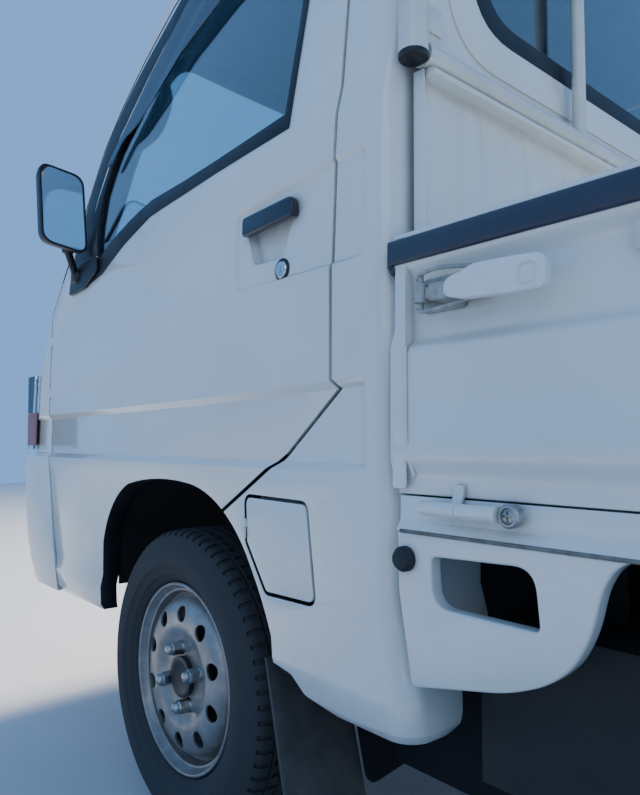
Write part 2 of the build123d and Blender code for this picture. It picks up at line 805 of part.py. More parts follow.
# The tailgate and the panel under it are the side's, turned to the rear
tail_turn = Plane(origin=(0, st(tail_face) - half_width, 0), x_dir=(0, 1, 0), z_dir=(0, 0, 1))
tail_pairs = [side_hinge(-x - front_axle_y) for x in tail_hinges]
rear_depth = tail_face - bed_rear
rear_panel = joined(sill(-half_width, half_width, half_width - rear_depth + seat_gap),
                    *[fixed for fixed, swung in tail_pairs])
tail_room = block((-half_width, st(bed_rear) - 20, 0), (half_width, st(rear_end), height))
save(common(tail_turn * rear_panel, tail_room), "rear_panel")
tail_gate = joined(gate(-board_half, board_half), *[swung for fixed, swung in tail_pairs])
save(tail_turn * tail_gate, "tailgate")

# Latches of the side gates: a plate with its pin, and a lever that stands off the gate's dished band
latch_seat = half_width - gate_dish + seat_gap
lever_in = 12.0
lever_out = 42.0
lever_points = ((666, 862), (666, 852), (702, 841), (791, 837.5), (795, 842), (794, 867), (787, 873),
                (704, 876))
lever = prism(Plane.YZ.offset(latch_seat + lever_in), stations(lever_points), lever_out - lever_in,
              corner=2)
latch_pieces = [lever, block((latch_seat, st(606), 840), (latch_seat + 5, st(720), 882)),
                block((latch_seat, st(636), 850), (latch_seat + 22, st(662), 870)),
                block((latch_seat, st(676), 848), (latch_seat + lever_in + 3, st(715), 868)),
                rod((latch_seat + 20, st(619), 845), (latch_seat + 20, st(619), 877), 7),
                block((latch_seat, st(612), 852), (latch_seat + 26, st(660), 870))]
save_pair(joined(*latch_pieces), "gate_latch")

# Engine and gearbox behind the rear axle, fuel tank and silencer
mount_x = rail_x - rail_wide / 2 - seat_gap
save(joined(block((-260, st(wheelbase + engine_back), 250), (260, st(tail_face - tail_clear), 560)),
            block((-150, st(wheelbase - engine_front), 265), (150, st(wheelbase + engine_back + 1), 470)),
            block((-mount_x, st(wheelbase + 200), 340), (mount_x, st(wheelbase + 260), 380))), "engine")
save(block((rail_out + seat_gap, st(620), 290), (640, st(1180), 480)), "fuel_tank")
silencer_y = st(tail_face - tail_clear)
silencer_out = wheel_x - tyre_width / 2 - 30
silencer = rod((-silencer_out, silencer_y, 330), (-rail_out - seat_gap, silencer_y, 330), silencer_radius)
save(silencer, "exhaust")

# Mud flaps behind the front and rear wheels
flap_thick = 5.0
flap_high = 372.0
flap_low = 150.0
flap_sweep = 60.0
sill_inner_x = half_width - wall - 2.5
flap_pieces = []
for s in (-1, 1):
    for axle in (0, wheelbase):
        top = axle + flap_back
        points = ((top, flap_high), (top + flap_thick, flap_high), (top + flap_thick + flap_sweep, flap_low),
                  (top + flap_sweep, flap_low))
        flap_pieces.append(prism(Plane.YZ.offset(s * flap_x - flap_wide / 2), stations(points), flap_wide))
    flap_pieces.append(block((s * flap_x - 50, st(flap_beam), flap_high - 1),
                             (s * flap_x + 50, st(flap_beam + flap_thick), beam_low - seat_gap)))
    bracket_x = s * (sill_inner_x - seat_gap - 25)
    flap_pieces.append(block((bracket_x - 25, st(flap_back + 6), 350), (bracket_x + 25, st(430), 356)))
save(joined(*flap_pieces), "mud_flaps")

# Tail lamps
lamp_box = (200.0, 40.0, 70.0)
with BuildPart() as tail_lamps:
    for s in (-1, 1):
        with Locations((s * 610, st(tail_face) - lamp_box[1] / 2, sill_low - seat_gap - lamp_box[2] / 2)):
            Box(*lamp_box)
save(tail_lamps.part, "tail_lamps")


# Wheels
def wheel(axle_y):
    """Left rim and tyre about an axle."""
    centre = Plane(origin=(0, axle_y, axle_z), x_dir=(1, 0, 0), z_dir=(0, -1, 0))
    axle = Axis((0, axle_y, axle_z), (1, 0, 0))
    lip = wheel_x + rim_width / 2
    back = wheel_x - rim_width / 2
    bead = rim_radius - 14
    hub_back = disc_x - rim_wall
    with BuildPart() as rim:
        with BuildSketch(centre):
            with BuildLine():
                Polyline((back, rim_radius), (back + 10, rim_radius), (back + 12, bead),
                         (back + 34, bead - 4), (back + 44, bead - 26), (lip - 44, bead - 26),
                         (lip - 30, bead - 3), (lip - 12, bead), (lip - 10, rim_radius),
                         (lip, rim_radius), (lip - 4, bead - rim_wall),
                         (lip - 28, bead - rim_wall - 3), (lip - 40, bead - 26 - rim_wall),
                         (back + 40, bead - 26 - rim_wall), (back + 32, bead - 4 - rim_wall),
                         (back + 4, bead - rim_wall), (back, rim_radius))
            make_face()
        revolve(axis=axle)
        with BuildSketch(centre):
            with BuildLine():
                Polyline((hub_back, 0), (disc_x + hub_cap_reach, 0), (disc_x + hub_cap_reach, hub_cap - 3),
                         (disc_x + hub_cap_reach - 3, hub_cap), (disc_x, hub_cap), (disc_x, 66),
                         (disc_x + 6, 80), (disc_x + 9.5, 92), (disc_x + 9, 108),
                         (disc_x + 5, 122), (disc_x - 2, 134),
                         (disc_x - 14, 140), (disc_x - 26, 143), (disc_x - 26, 139),
                         (disc_x - 15, 136), (disc_x - 5, 131), (disc_x + 1, 120),
                         (disc_x + 9 - disc_thick, 107), (disc_x + 9.5 - disc_thick, 93), (disc_x + 2, 83),
                         (hub_back, 69), (hub_back, 0))
            make_face()
        revolve(axis=axle)
        with BuildSketch(Plane.YZ.offset(disc_x - 60)):
            with Locations(Pos(axle_y, axle_z)):
                with PolarLocations(vent_circle / 2, vent_count, start_angle=180 / vent_count):
                    Circle(vent_hole / 2)
                with PolarLocations(lug_circle / 2, lug_count, start_angle=lug_turn):
                    Circle(lug_hole / 2)
        extrude(amount=80, mode=Mode.SUBTRACT)
    half_tyre = tyre_width / 2
    with BuildPart() as tyre:
        with BuildSketch(centre):
            with BuildLine():
                Polyline((back + 14, bead + seat_gap), (back + 12, rim_radius + 2),
                         (wheel_x - half_tyre, 205), (wheel_x - half_tyre, 225),
                         (wheel_x - 56, tyre_radius - 4), (wheel_x - 50, tyre_radius),
                         (wheel_x + 50, tyre_radius), (wheel_x + 56, tyre_radius - 4),
                         (wheel_x + half_tyre, 225), (wheel_x + half_tyre, 205), (lip - 12, rim_radius + 2),
                         (lip - 14, bead + seat_gap), (lip - 30, bead + seat_gap), (lip - 36, 200),
                         (back + 36, 200), (back + 30, bead + seat_gap), (back + 14, bead + seat_gap))
            make_face()
        revolve(axis=axle)
    return rim.part, tyre.part


for place, axle_y in (("front", front_axle_y), ("rear", rear_axle_y)):
    rim_part, tyre_part = wheel(axle_y)
    save_pair(rim_part, f"rim_{place}")
    save_pair(tyre_part, f"tyre_{place}")

# Hubs and suspension
kingpin_low = Vector(kingpin_low_x, front_axle_y, kingpin_low_z)
kingpin_high = Vector(kingpin_high_x, front_axle_y, kingpin_high_z)
kingpin = kingpin_high - kingpin_low


def on_kingpin(share):
    """Point on the left steering axis, from its low end at 0 to its high end at 1."""
    return tuple(kingpin_low + kingpin * share)


strut_room = rod(on_kingpin(0.6), on_kingpin(1.1), strut_radius + 6)
save_pair(cut(liner, strut_room), "wheel_liner")

hub_face = disc_x - rim_wall - seat_gap
knuckle = joined(rod((520, front_axle_y, axle_z), (hub_face - 14, front_axle_y, axle_z), 26),
                 rod((hub_face - 16, front_axle_y, axle_z), (hub_face, front_axle_y, axle_z), hub_flange),
                 rod(on_kingpin(0.10), on_kingpin(0.30), 24),
                 rod(on_kingpin(0.25), on_kingpin(0.80), 23))
save_pair(knuckle, "knuckle")

strut = [rod(on_kingpin(0.83), on_kingpin(0.981), strut_radius), rod(on_kingpin(0.802), on_kingpin(0.84), 11)]
arm = [rod((rail_x, front_axle_y, 200), on_kingpin(0.02), 15), rod(on_kingpin(0.02), on_kingpin(0.096), 8),
       block((rail_x - 25, front_axle_y - 40, 180), (rail_x + 25, front_axle_y + 40, rail_low - seat_gap))]
front_pieces = []
for piece in strut + arm:
    front_pieces.append(piece)
    front_pieces.append(mirror(piece, about=Plane.YZ))
front_pieces.append(block((-rail_x - 30, front_axle_y - 40, 180), (rail_x + 30, front_axle_y + 40, 230)))
save(joined(*front_pieces), "front_suspension")

arm_x = 480.0
arm_front = st(wheelbase - 480)
arm_z = 330.0
rear_hub = joined(rod((hub_face - 16, rear_axle_y, axle_z), (hub_face, rear_axle_y, axle_z), hub_flange),
                  rod((430, rear_axle_y, axle_z), (hub_face - 14, rear_axle_y, axle_z), 24))
rear_pieces = []
for piece in (rear_hub, rod((arm_x, rear_axle_y, axle_z), (arm_x, arm_front, arm_z), 26),
              rod((arm_x, arm_front, arm_z), (rail_out + seat_gap, arm_front, arm_z), 26)):
    rear_pieces.append(piece)
    rear_pieces.append(mirror(piece, about=Plane.YZ))
save(joined(*rear_pieces), "rear_suspension")
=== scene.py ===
"""Looks of a small drop-side truck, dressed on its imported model: panels, glass, wheels, bed and cab."""

import json
import logging
from dataclasses import dataclass, field
from enum import Enum
from itertools import product
from math import atan2, cos, hypot, radians, sin, tau
from typing import Callable

import bpy
from mathutils import Matrix, Vector

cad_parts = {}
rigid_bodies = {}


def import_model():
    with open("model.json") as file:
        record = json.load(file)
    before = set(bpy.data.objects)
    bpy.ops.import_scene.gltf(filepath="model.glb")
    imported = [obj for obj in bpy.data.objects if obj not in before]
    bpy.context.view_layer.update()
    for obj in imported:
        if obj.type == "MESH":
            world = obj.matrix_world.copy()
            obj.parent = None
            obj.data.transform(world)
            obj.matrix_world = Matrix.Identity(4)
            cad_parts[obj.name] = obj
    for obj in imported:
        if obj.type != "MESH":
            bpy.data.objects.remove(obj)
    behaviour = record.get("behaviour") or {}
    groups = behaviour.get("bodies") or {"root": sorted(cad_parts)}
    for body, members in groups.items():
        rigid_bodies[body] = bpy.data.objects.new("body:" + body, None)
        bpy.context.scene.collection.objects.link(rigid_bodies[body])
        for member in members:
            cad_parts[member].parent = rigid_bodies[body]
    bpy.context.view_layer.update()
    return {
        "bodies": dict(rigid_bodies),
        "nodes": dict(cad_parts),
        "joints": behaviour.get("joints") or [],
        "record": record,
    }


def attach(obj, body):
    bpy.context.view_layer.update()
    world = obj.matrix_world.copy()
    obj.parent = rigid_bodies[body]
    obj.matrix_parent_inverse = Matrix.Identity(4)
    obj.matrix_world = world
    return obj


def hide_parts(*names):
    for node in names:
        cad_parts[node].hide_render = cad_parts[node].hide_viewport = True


logging.basicConfig(level=logging.INFO, format="%(message)s")
log = logging.getLogger("truck")

Point = tuple[float, float, float]
Pair = tuple[float, float]
Rows = tuple[tuple[float, ...], ...]
Piece = bpy.types.Object
Socket = bpy.types.NodeSocket

MM = 0.001
FRONT_AXLE_Y = -0.8025
REAR_AXLE_Y = 1.0825
AXLE_MM = 265.0
TRACK_HALF_MM = 645.0
SIDE_MM = 737.5
BELT_MM = 1137.0
SIDE_LEAN = 0.1721
MERGE_M = 0.00002
FLAT_DEG = 0.6
OUT, BACK, UP = Vector((1, 0, 0)), Vector((0, 1, 0)), Vector((0, 0, 1))


def station(behind_mm: float) -> float:
    """Place along Y, in metres, of a station in millimetres behind the front axle."""
    return FRONT_AXLE_Y + behind_mm * MM


class Side(Enum):
    """The truck's two sides, with the sign of X on each."""

    LEFT = 1
    RIGHT = -1

    @property
    def label(self) -> str:
        """Word for the side in a name."""
        return self.name.lower()


class Axle(Enum):
    """The two axles, with the place of each along Y."""

    FRONT = FRONT_AXLE_Y
    REAR = REAR_AXLE_Y

    @property
    def label(self) -> str:
        """Word for the axle in a name."""
        return self.name.lower()


def linear(hex_colour: str) -> tuple[float, float, float, float]:
    """Linear RGBA of an sRGB hex colour.

    Args:
        hex_colour: six hex digits.

    Returns:
        The colour with an alpha of 1.
    """
    channels = [int(hex_colour[i:i + 2], 16) / 255 for i in (0, 2, 4)]
    light = [c / 12.92 if c <= 0.04045 else ((c + 0.055) / 1.055) ** 2.4 for c in channels]
    return (*light, 1.0)


def add_node(tree: bpy.types.NodeTree, kind: str, settings: dict | None = None,
             links: dict | None = None) -> bpy.types.Node:
    """Add a node with its settings and the links into it.

    Args:
        tree: the material's node tree.
        kind: the node's type name.
        settings: values for its sockets, or for its properties where no socket has that name.
        links: output sockets for its input sockets.

    Returns:
        The new node.
    """
    node = tree.nodes.new(kind)
    for key, value in (settings or {}).items():
        if isinstance(key, int) or key in node.inputs:
            node.inputs[key].default_value = value
        else:
            setattr(node, key, value)
    for key, socket in (links or {}).items():
        tree.links.new(socket, node.inputs[key])
    return node


def noise(tree: bpy.types.NodeTree, place: Socket, scale: float, detail: float,
          roughness: float = 0.5) -> Socket:
    """Value of a noise texture at a place."""
    return add_node(tree, "ShaderNodeTexNoise", {"Scale": scale, "Detail": detail, "Roughness": roughness},
                    {"Vector": place}).outputs["Fac"]


def ranged(tree: bpy.types.NodeTree, value: Socket, source: Pair, target: Pair = (0.0, 1.0)) -> Socket:
    """Value mapped from one range to another, and held inside it."""
    ends = {"From Min": source[0], "From Max": source[1], "To Min": target[0], "To Max": target[1]}
    return add_node(tree, "ShaderNodeMapRange", ends, {"Value": value}).outputs["Result"]


def mixed(tree: bpy.types.NodeTree, share: Socket, first: Socket | str, second: str) -> Socket:
    """Colour between a first one, a socket or six hex digits, and a second one, by a share."""
    settings, links = {"data_type": "RGBA", 7: linear(second)}, {0: share}
    if isinstance(first, str):
        settings[6] = linear(first)
    else:
        links[6] = first
    return add_node(tree, "ShaderNodeMix", settings, links).outputs[2]


@dataclass(frozen=True)
class Finish:
    """A surface: what it is made of, and what that gives the eye.

    Pattern sizes are the real ones in millimetres. Dust thins out up to dust_top, in metres, and dirt sits in
    creases together with painted shade, where ambient occlusion darkens the colour.
    """

    name: str
    colour: str
    shade: str
    patch_mm: float
    roughness: float
    grain_mm: float
    grain_depth_mm: float
    metallic: float = 0.0
    coat: float = 0.0
    coat_roughness: float = 0.03
    ior: float = 1.5
    transmission: float = 0.0
    rough_spread: float = 0.06
    dust: str = ""
    dust_share: float = 0.0
    dust_top: float = 0.0
    grime: float = 0.0

    def material(self) -> bpy.types.Material:
        """The finish as a node material, made once."""
        found = bpy.data.materials.get(self.name)
        if found:
            return found
        made = bpy.data.materials.new(self.name)
        made.use_nodes = True
        tree = made.node_tree
        tree.nodes.clear()
        place = add_node(tree, "ShaderNodeTexCoord").outputs["Object"]
        patch = noise(tree, place, 1 / (self.patch_mm * MM), 4.0, 0.55)
        tint = mixed(tree, ranged(tree, patch, (0.35, 0.65)), self.colour, self.shade)
        if self.dust:
            tint = self.dusted(tree, place, tint)
        # painted shade with dirt in creases
        if self.grime:
            tint = self.grimed(tree, place, tint)
        rough = ranged(tree, patch, (0.3, 0.7), (max(0.02, self.roughness - self.rough_spread),
                                                 min(1.0, self.roughness + self.rough_spread)))
        grain = noise(tree, place, 1 / (self.grain_mm * MM), 2.0)
        bump = add_node(tree, "ShaderNodeBump", {"Strength": 1.0, "Distance": self.grain_depth_mm * MM},
                        {"Height": grain})
        shader = add_node(tree, "ShaderNodeBsdfPrincipled",
                          {"Metallic": self.metallic, "IOR": self.ior, "Coat Weight": self.coat,
                           "Coat Roughness": self.coat_roughness, "Transmission Weight": self.transmission},
                          {"Base Color": tint, "Roughness": rough, "Normal": bump.outputs["Normal"]})
        add_node(tree, "ShaderNodeOutputMaterial", None, {"Surface": shader.outputs["BSDF"]})
        return made

    def grimed(self, tree: bpy.types.NodeTree, place: Socket, tint: Socket) -> Socket:
        """Dirt in creases together with painted shade: ambient occlusion darkens the colour there, broken up by a
        noise drawn out downwards.

        Args:
            tree: the material's node tree.
            place: its texture coordinates.
            tint: the clean colour.

        Returns:
            The colour with dirt and painted shade in its creases.
        """
        # painted shade: the ambient occlusion mask darkens creases towards the dirt colour
        occlusion_shade = add_node(tree, "ShaderNodeAmbientOcclusion", {"Distance": 0.022, "samples": 6}).outputs["AO"]
        long = add_node(tree, "ShaderNodeMapping", {"Scale": (60.0, 60.0, 7.0)}, {"Vector": place})
        run = noise(tree, long.outputs["Vector"], 1.0, 5.0, 0.65)
        crease_shade = ranged(tree, occlusion_shade, (0.85, 0.3), (0.0, self.grime * 1.7))
        share = add_node(tree, "ShaderNodeMath", {"operation": "MULTIPLY", "use_clamp": True},
                         {0: crease_shade, 1: run})
        return mixed(tree, share.outputs[0], tint, CREASE_DIRT_AND_SHADE)

    def dusted(self, tree: bpy.types.NodeTree, place: Socket, tint: Socket) -> Socket:
        """Road dust that thins out with height.

        Args:
            tree: the material's node tree.
            place: its texture coordinates.
            tint: the clean colour.

        Returns:
            The colour with dust on it.
        """
        height = add_node(tree, "ShaderNodeSeparateXYZ", None, {"Vector": place}).outputs["Z"]
        share = ranged(tree, height, (self.dust_top, self.dust_top * 0.35), (0.0, self.dust_share))
        for factor in (noise(tree, place, 28.0, 6.0, 0.7), 1.8):
            settings = {"operation": "MULTIPLY", "use_clamp": True}
            links = {0: share}
            if isinstance(factor, float):
                settings[1] = factor
            else:
                links[1] = factor
            share = add_node(tree, "ShaderNodeMath", settings, links).outputs[0]
        return mixed(tree, share, tint, self.dust)


# Dirt colour that ambient occlusion mixes into creases: dirt and painted shade together
CREASE_DIRT_AND_SHADE = "7E7767"
# Baked alkyd enamel over pressed steel: glossy, faintly warm, with slight orange peel, and painted shade with dirt
# in its creases
ENAMEL = Finish("white_enamel", "E4E7E2", "DDE0DA", 260.0, 0.20, 3.0, 0.012, coat=0.7, coat_roughness=0.03,
                grime=0.5, dust="B9B4A6", dust_share=0.55, dust_top=0.55)
# The same enamel on tube, a little more worn, with painted shade and dirt in its creases
GUARD_ENAMEL = Finish("guard_enamel", "DADDD7", "CBCEC6", 120.0, 0.30, 2.0, 0.02, coat=0.35, grime=0.6)
# Injection-moulded ABS in black, with a fine grain that scatters the light
BLACK_PLASTIC = Finish("black_abs", "17181A", "1E2022", 40.0, 0.42, 0.9, 0.05)
# Carbon-black rubber, matt, greyed by the weather
RUBBER = Finish("black_rubber", "1D1E20", "2A2C2E", 60.0, 0.62, 1.2, 0.06, dust="6E6A62", dust_share=0.5,
                dust_top=0.5)
# Near-black and matt, drawn as bitumen underseal: painted shade on the sheets that stand in for the shade under
# the cab's rear
SHADE_BLACK = Finish("underseal", "090A0C", "101113", 60.0, 0.85, 3.0, 0.2)
# Grey sealer run along a seam, with dirt on it
SEALER = Finish("seam_sealer", "85827A", "6B675E", 18.0, 0.7, 1.5, 0.1)
SEAL = Finish("seal_rubber", "101113", "191B1D", 50.0, 0.5, 1.0, 0.04)
# Tyre rubber with road dust in it
TYRE = Finish("tyre_rubber", "242424", "32312F", 35.0, 0.74, 1.6, 0.10, dust="6E685E", dust_share=0.6,
              dust_top=0.6)
# Tempered float glass with a faint green tint
GLASS = Finish("green_float_glass", "D4EEF2", "CEEAEE", 900.0, 0.02, 400.0, 0.0, ior=1.8, transmission=1.0,
               rough_spread=0.0)
# Silver paint on a pressed steel wheel, dull with brake dust
WHEEL_STEEL = Finish("silver_wheel_paint", "A7A6A3", "8F8D89", 30.0, 0.42, 1.4, 0.03, metallic=0.55, coat=0.2,
                     dust="6B5E50", dust_share=0.35, dust_top=0.45)
CHASSIS = Finish("chassis_paint", "121315", "1C1B1B", 80.0, 0.6, 2.5, 0.05, dust="4A453D", dust_share=0.3,
                 dust_top=0.6)
CAST = Finish("cast_alloy", "6E6C69", "57544F", 25.0, 0.55, 1.8, 0.12, metallic=0.7, dust="4E473C",
              dust_share=0.4, dust_top=0.5)
EXHAUST = Finish("heat_dulled_steel", "7C746A", "5E4F41", 45.0, 0.48, 2.0, 0.06, metallic=0.9)
ZINC = Finish("zinc_plated_steel", "B9BAB8", "9FA09C", 14.0, 0.34, 1.0, 0.02, metallic=1.0)
CHROME = Finish("bright_chrome", "D8DADB", "C8CACC", 30.0, 0.12, 1.0, 0.004, metallic=1.0, rough_spread=0.03)
SEAT_CLOTH = Finish("seat_cloth", "3B3E44", "30333A", 30.0, 0.9, 1.2, 0.25)
INTERIOR = Finish("grey_interior_plastic", "4A4D52", "42454A", 60.0, 0.55, 1.1, 0.06)
LAMP_GLASS = Finish("clear_lamp_cover", "F0F4F4", "ECF0F0", 500.0, 0.03, 300.0, 0.0, transmission=1.0,
                    rough_spread=0.0)
LAMP_RED = Finish("red_lamp_lens", "A0121A", "8C0E15", 50.0, 0.12, 4.0, 0.05, coat=0.5)
# Satin black paint on a die-cast flap
SATIN_BLACK = Finish("satin_black_flap", "1B2130", "171C28", 70.0, 0.3, 2.0, 0.01, coat=0.3)
# Weathered extruded rubber with a blue-grey bloom
STRIP_RUBBER = Finish("weathered_strip_rubber", "2B3040", "353A48", 90.0, 0.42, 1.2, 0.04)
# Powder-coated lever, softer than the enamel round it
LEVER_WHITE = Finish("lever_powder_coat", "E9ECEC", "DEE1E0", 60.0, 0.34, 1.6, 0.02, coat=0.25)
# Old paint on hinge parts, grey with wear, and dirt with heavy painted shade in its creases
WORN_WHITE = Finish("worn_hinge_paint", "AEB1AC", "8F918B", 12.0, 0.5, 1.5, 0.05, grime=0.9)
# Smoked acrylic sheet
SMOKED = Finish("smoked_acrylic", "6C7C86", "66757F", 600.0, 0.05, 300.0, 0.0, ior=1.49, transmission=1.0,
                rough_spread=0.0)
# Silvered mirror glass
MIRROR = Finish("silvered_glass", "E6ECF0", "E2E8EC", 400.0, 0.03, 200.0, 0.0, metallic=1.0, rough_spread=0.0)
# Vacuum-silvered bowl of a headlamp
BOWL = Finish("silvered_bowl", "D5D8DA", "B9BCC0", 22.0, 0.16, 6.0, 0.6, metallic=1.0)
# Amber polycarbonate with a moulded rib pattern
AMBER = Finish("amber_lens", "D8601A", "C24E10", 40.0, 0.14, 5.0, 0.3, coat=0.4)
CLEAR_LENS = Finish("ribbed_clear_lens", "E4E7E8", "D6DADB", 40.0, 0.12, 5.0, 0.3, coat=0.5)
# Painted aluminium plate, left blank
PLATE = Finish("blank_plate_paint", "EDEDE8", "E6E6E1", 120.0, 0.4, 2.0, 0.01)
# Knitted headlining on foam, its dark blue-grey partly painted shade of the cab's inside
HEADLINING_AND_SHADE = Finish("knitted_headlining", "56606E", "4E5866", 80.0, 0.9, 1.6, 0.12)
FLOOR = Finish("studio_floor", "C9CBCC", "C4C6C7", 900.0, 0.55, 40.0, 0.0)

SLOT_FINISH: dict[str, Finish] = {
    "body_white": ENAMEL, "guard_white": GUARD_ENAMEL, "handle_white": GUARD_ENAMEL,
    "black_plastic": BLACK_PLASTIC, "rubber_black": RUBBER, "window_glass": GLASS, "lamp_clear": LAMP_GLASS,
    "lamp_red": LAMP_RED, "wheel_steel": WHEEL_STEEL, "tyre_rubber": TYRE, "chassis_black": CHASSIS,
    "cast_dark": CAST, "exhaust_steel": EXHAUST, "seat_fabric": SEAT_CLOTH, "interior_grey": INTERIOR,
}


def deselect() -> None:
    """Leave nothing selected, so that an operator acts only on what is chosen next."""
    if bpy.context.object and bpy.context.object.mode != "OBJECT":
        bpy.ops.object.mode_set(mode="OBJECT")
    bpy.ops.object.select_all(action="DESELECT")


def activate(piece: Piece) -> None:
    """Make a piece the only one selected, and active."""
    deselect()
    piece.select_set(True)
    bpy.context.view_layer.objects.active = piece


def apply_modifiers(piece: Piece) -> None:
    """Apply every modifier of a piece, in order."""
    activate(piece)
    for modifier in list(piece.modifiers):
        bpy.ops.object.modifier_apply(modifier=modifier.name)


def dress(piece: Piece, finish: Finish) -> None:
    """Give a piece one finish all over."""
    piece.data.materials.clear()
    piece.data.materials.append(finish.material())


def smooth(piece: Piece, angle: float) -> None:
    """Shade a piece smooth, with edges sharper than an angle in degrees kept."""
    activate(piece)
    bpy.ops.object.shade_smooth_by_angle(angle=radians(angle))


def at(x: float, behind: float, z: float) -> Vector:
    """Point in metres from x, a station behind the front axle and z, all in millimetres."""
    return Vector((x * MM, station(behind), z * MM))


def softened(points: list[Vector], cut: float | list[float], steps: int = 5,
             closed: bool = True) -> list[Vector]:
    """Line with its corners rounded.

    Args:
        points: the corners.
        cut: length in millimetres taken off each side of a corner, or one for each corner.
        steps: segments of each rounded corner.
        closed: whether the line closes on itself.

    Returns:
        The points of the rounded line.
    """
    count = len(points)
    cuts = cut if isinstance(cut, list) else [cut] * count
    line: list[Vector] = []
    for i, corner in enumerate(points):
        if cuts[i] <= 0 or (not closed and i in (0, count - 1)):
            line.append(corner.copy())
            continue
        before, after = points[i - 1] - corner, points[(i + 1) % count] - corner
        reach = min(cuts[i] * MM, before.length * 0.48, after.length * 0.48)
        start, end = corner + before.normalized() * reach, corner + after.normalized() * reach
        for k in range(steps + 1):
            t = k / steps
            line.append(start * (1 - t) ** 2 + corner * (2 * t * (1 - t)) + end * t ** 2)
    return line


def new_face(corners: list[Vector]) -> Piece:
    """Flat face: a circle primitive with its points moved to the corners."""
    deselect()
    bpy.ops.mesh.primitive_circle_add(vertices=len(corners), radius=0.1, fill_type="NGON")
    piece = bpy.context.object
    for vertex, corner in zip(piece.data.vertices, corners):
        vertex.co = corner
    return piece


def edit_all(piece: Piece) -> None:
    """Open a piece for editing, with all of it selected."""
    activate(piece)
    bpy.ops.object.mode_set(mode="EDIT")
    bpy.ops.mesh.select_all(action="SELECT")


def thicken(piece: Piece, along: Vector) -> None:
    """Extrude all of an open piece into a closed solid."""
    edit_all(piece)
    bpy.ops.mesh.extrude_region_move(TRANSFORM_OT_translate={"value": along})
    bpy.ops.mesh.select_all(action="SELECT")
    bpy.ops.mesh.normals_make_consistent(inside=False)
    bpy.ops.object.mode_set(mode="OBJECT")


def new_plate(corners: list[Vector], along: Vector) -> Piece:
    """Solid plate of an outline, extruded along a direction."""
    piece = new_face(corners)
    thicken(piece, along)
    return piece


def new_ring(outer: list[Vector], inner: list[Vector], along: Vector) -> Piece:
    """Solid ring between two outlines with as many points.

    Args:
        outer: the outer outline.
        inner: the inner outline, point for point.
        along: direction and depth of the ring.

    Returns:
        The ring.
    """
    deselect()
    count = len(outer)
    bpy.ops.mesh.primitive_circle_add(vertices=count, radius=0.1, fill_type="NOTHING")
    piece = bpy.context.object
    for vertex, corner in zip(piece.data.vertices, outer):
        vertex.co = corner
    edit_all(piece)
    bpy.ops.mesh.extrude_edges_move()
    bpy.ops.object.mode_set(mode="OBJECT")
    for vertex in list(piece.data.vertices)[count:]:
        nearest = min(range(count), key=lambda i: (outer[i] - vertex.co).length)
        vertex.co = inner[nearest]
    thicken(piece, along)
    return piece


def turned(profile: list[Pair], origin: Vector, steps: int = 32, axis: Vector = OUT,
           out: Vector = UP) -> Piece:
    """Turned solid.

    Args:
        profile: closed profile as (distance along the axis, radius) in millimetres.
        origin: point on the axis that the distances start from.
        steps: segments of the turn.
        axis: unit vector along the axis.
        out: unit vector across it.

    Returns:
        The solid.
    """
    deselect()
    bpy.ops.mesh.primitive_circle_add(vertices=len(profile), radius=0.1, fill_type="NOTHING")
    piece = bpy.context.object
    for vertex, (along, radius) in zip(piece.data.vertices, profile):
        vertex.co = origin + axis * (along * MM) + out * (radius * MM)
    edit_all(piece)
    bpy.ops.mesh.spin(steps=steps, angle=tau, center=origin, axis=axis)
    bpy.ops.mesh.select_all(action="SELECT")
    bpy.ops.mesh.remove_doubles(threshold=MERGE_M)
    bpy.ops.mesh.dissolve_degenerate(threshold=MERGE_M)
    bpy.ops.mesh.select_all(action="SELECT")
    bpy.ops.mesh.normals_make_consistent(inside=False)
    bpy.ops.object.mode_set(mode="OBJECT")
    return piece


def new_tube(path: list[Vector], radius_mm: float, sides: int) -> Piece:
    """Round bar along a line, made as a curve and turned into a mesh.

    Args:
        path: points of its centre line.
        radius_mm: its radius.
        sides: the curve's bevel resolution.

    Returns:
        The bar.
    """
    deselect()
    curve = bpy.data.curves.new("bar", "CURVE")
    curve.dimensions = "3D"
    curve.bevel_depth = radius_mm * MM
    curve.bevel_resolution = sides
    curve.use_fill_caps = True
    spline = curve.splines.new("POLY")
    spline.points.add(len(path) - 1)
    for point, place in zip(spline.points, path):
        point.co = (*place, 1.0)
    piece = bpy.data.objects.new("bar", curve)
    bpy.context.scene.collection.objects.link(piece)
    activate(piece)
    bpy.ops.object.convert(target="MESH")
    return bpy.context.object


def in_side_plane(x: float, rows: Rows, cut: float = 0.0, steps: int = 5) -> list[Vector]:
    """Outline at x, from rows of station and height. A row's third number is its corner's own cut."""
    cuts = [row[2] if len(row) > 2 else cut for row in rows]
    return softened([at(x, row[0], row[1]) for row in rows], cuts, steps)


def in_cross_plane(behind: float, rows: Rows, cut: float = 0.0, steps: int = 5) -> list[Vector]:
    """Outline at a station, from rows of x and height. A row's third number is its corner's own cut."""
    cuts = [row[2] if len(row) > 2 else cut for row in rows]
    return softened([at(row[0], behind, row[1]) for row in rows], cuts, steps)


def side_plate(x: float, rows: Rows, depth: float, cut: float = 0.0, steps: int = 5) -> Piece:
    """Plate of an outline at x that reaches towards smaller x by a depth in millimetres."""
    return new_plate(in_side_plane(x, rows, cut, steps), OUT * (-depth * MM))


def cross_plate(behind: float, rows: Rows, depth: float, cut: float = 0.0, steps: int = 5) -> Piece:
    """Plate of an outline at a station that reaches backwards by a depth in millimetres."""
    return new_plate(in_cross_plane(behind, rows, cut, steps), BACK * (depth * MM))


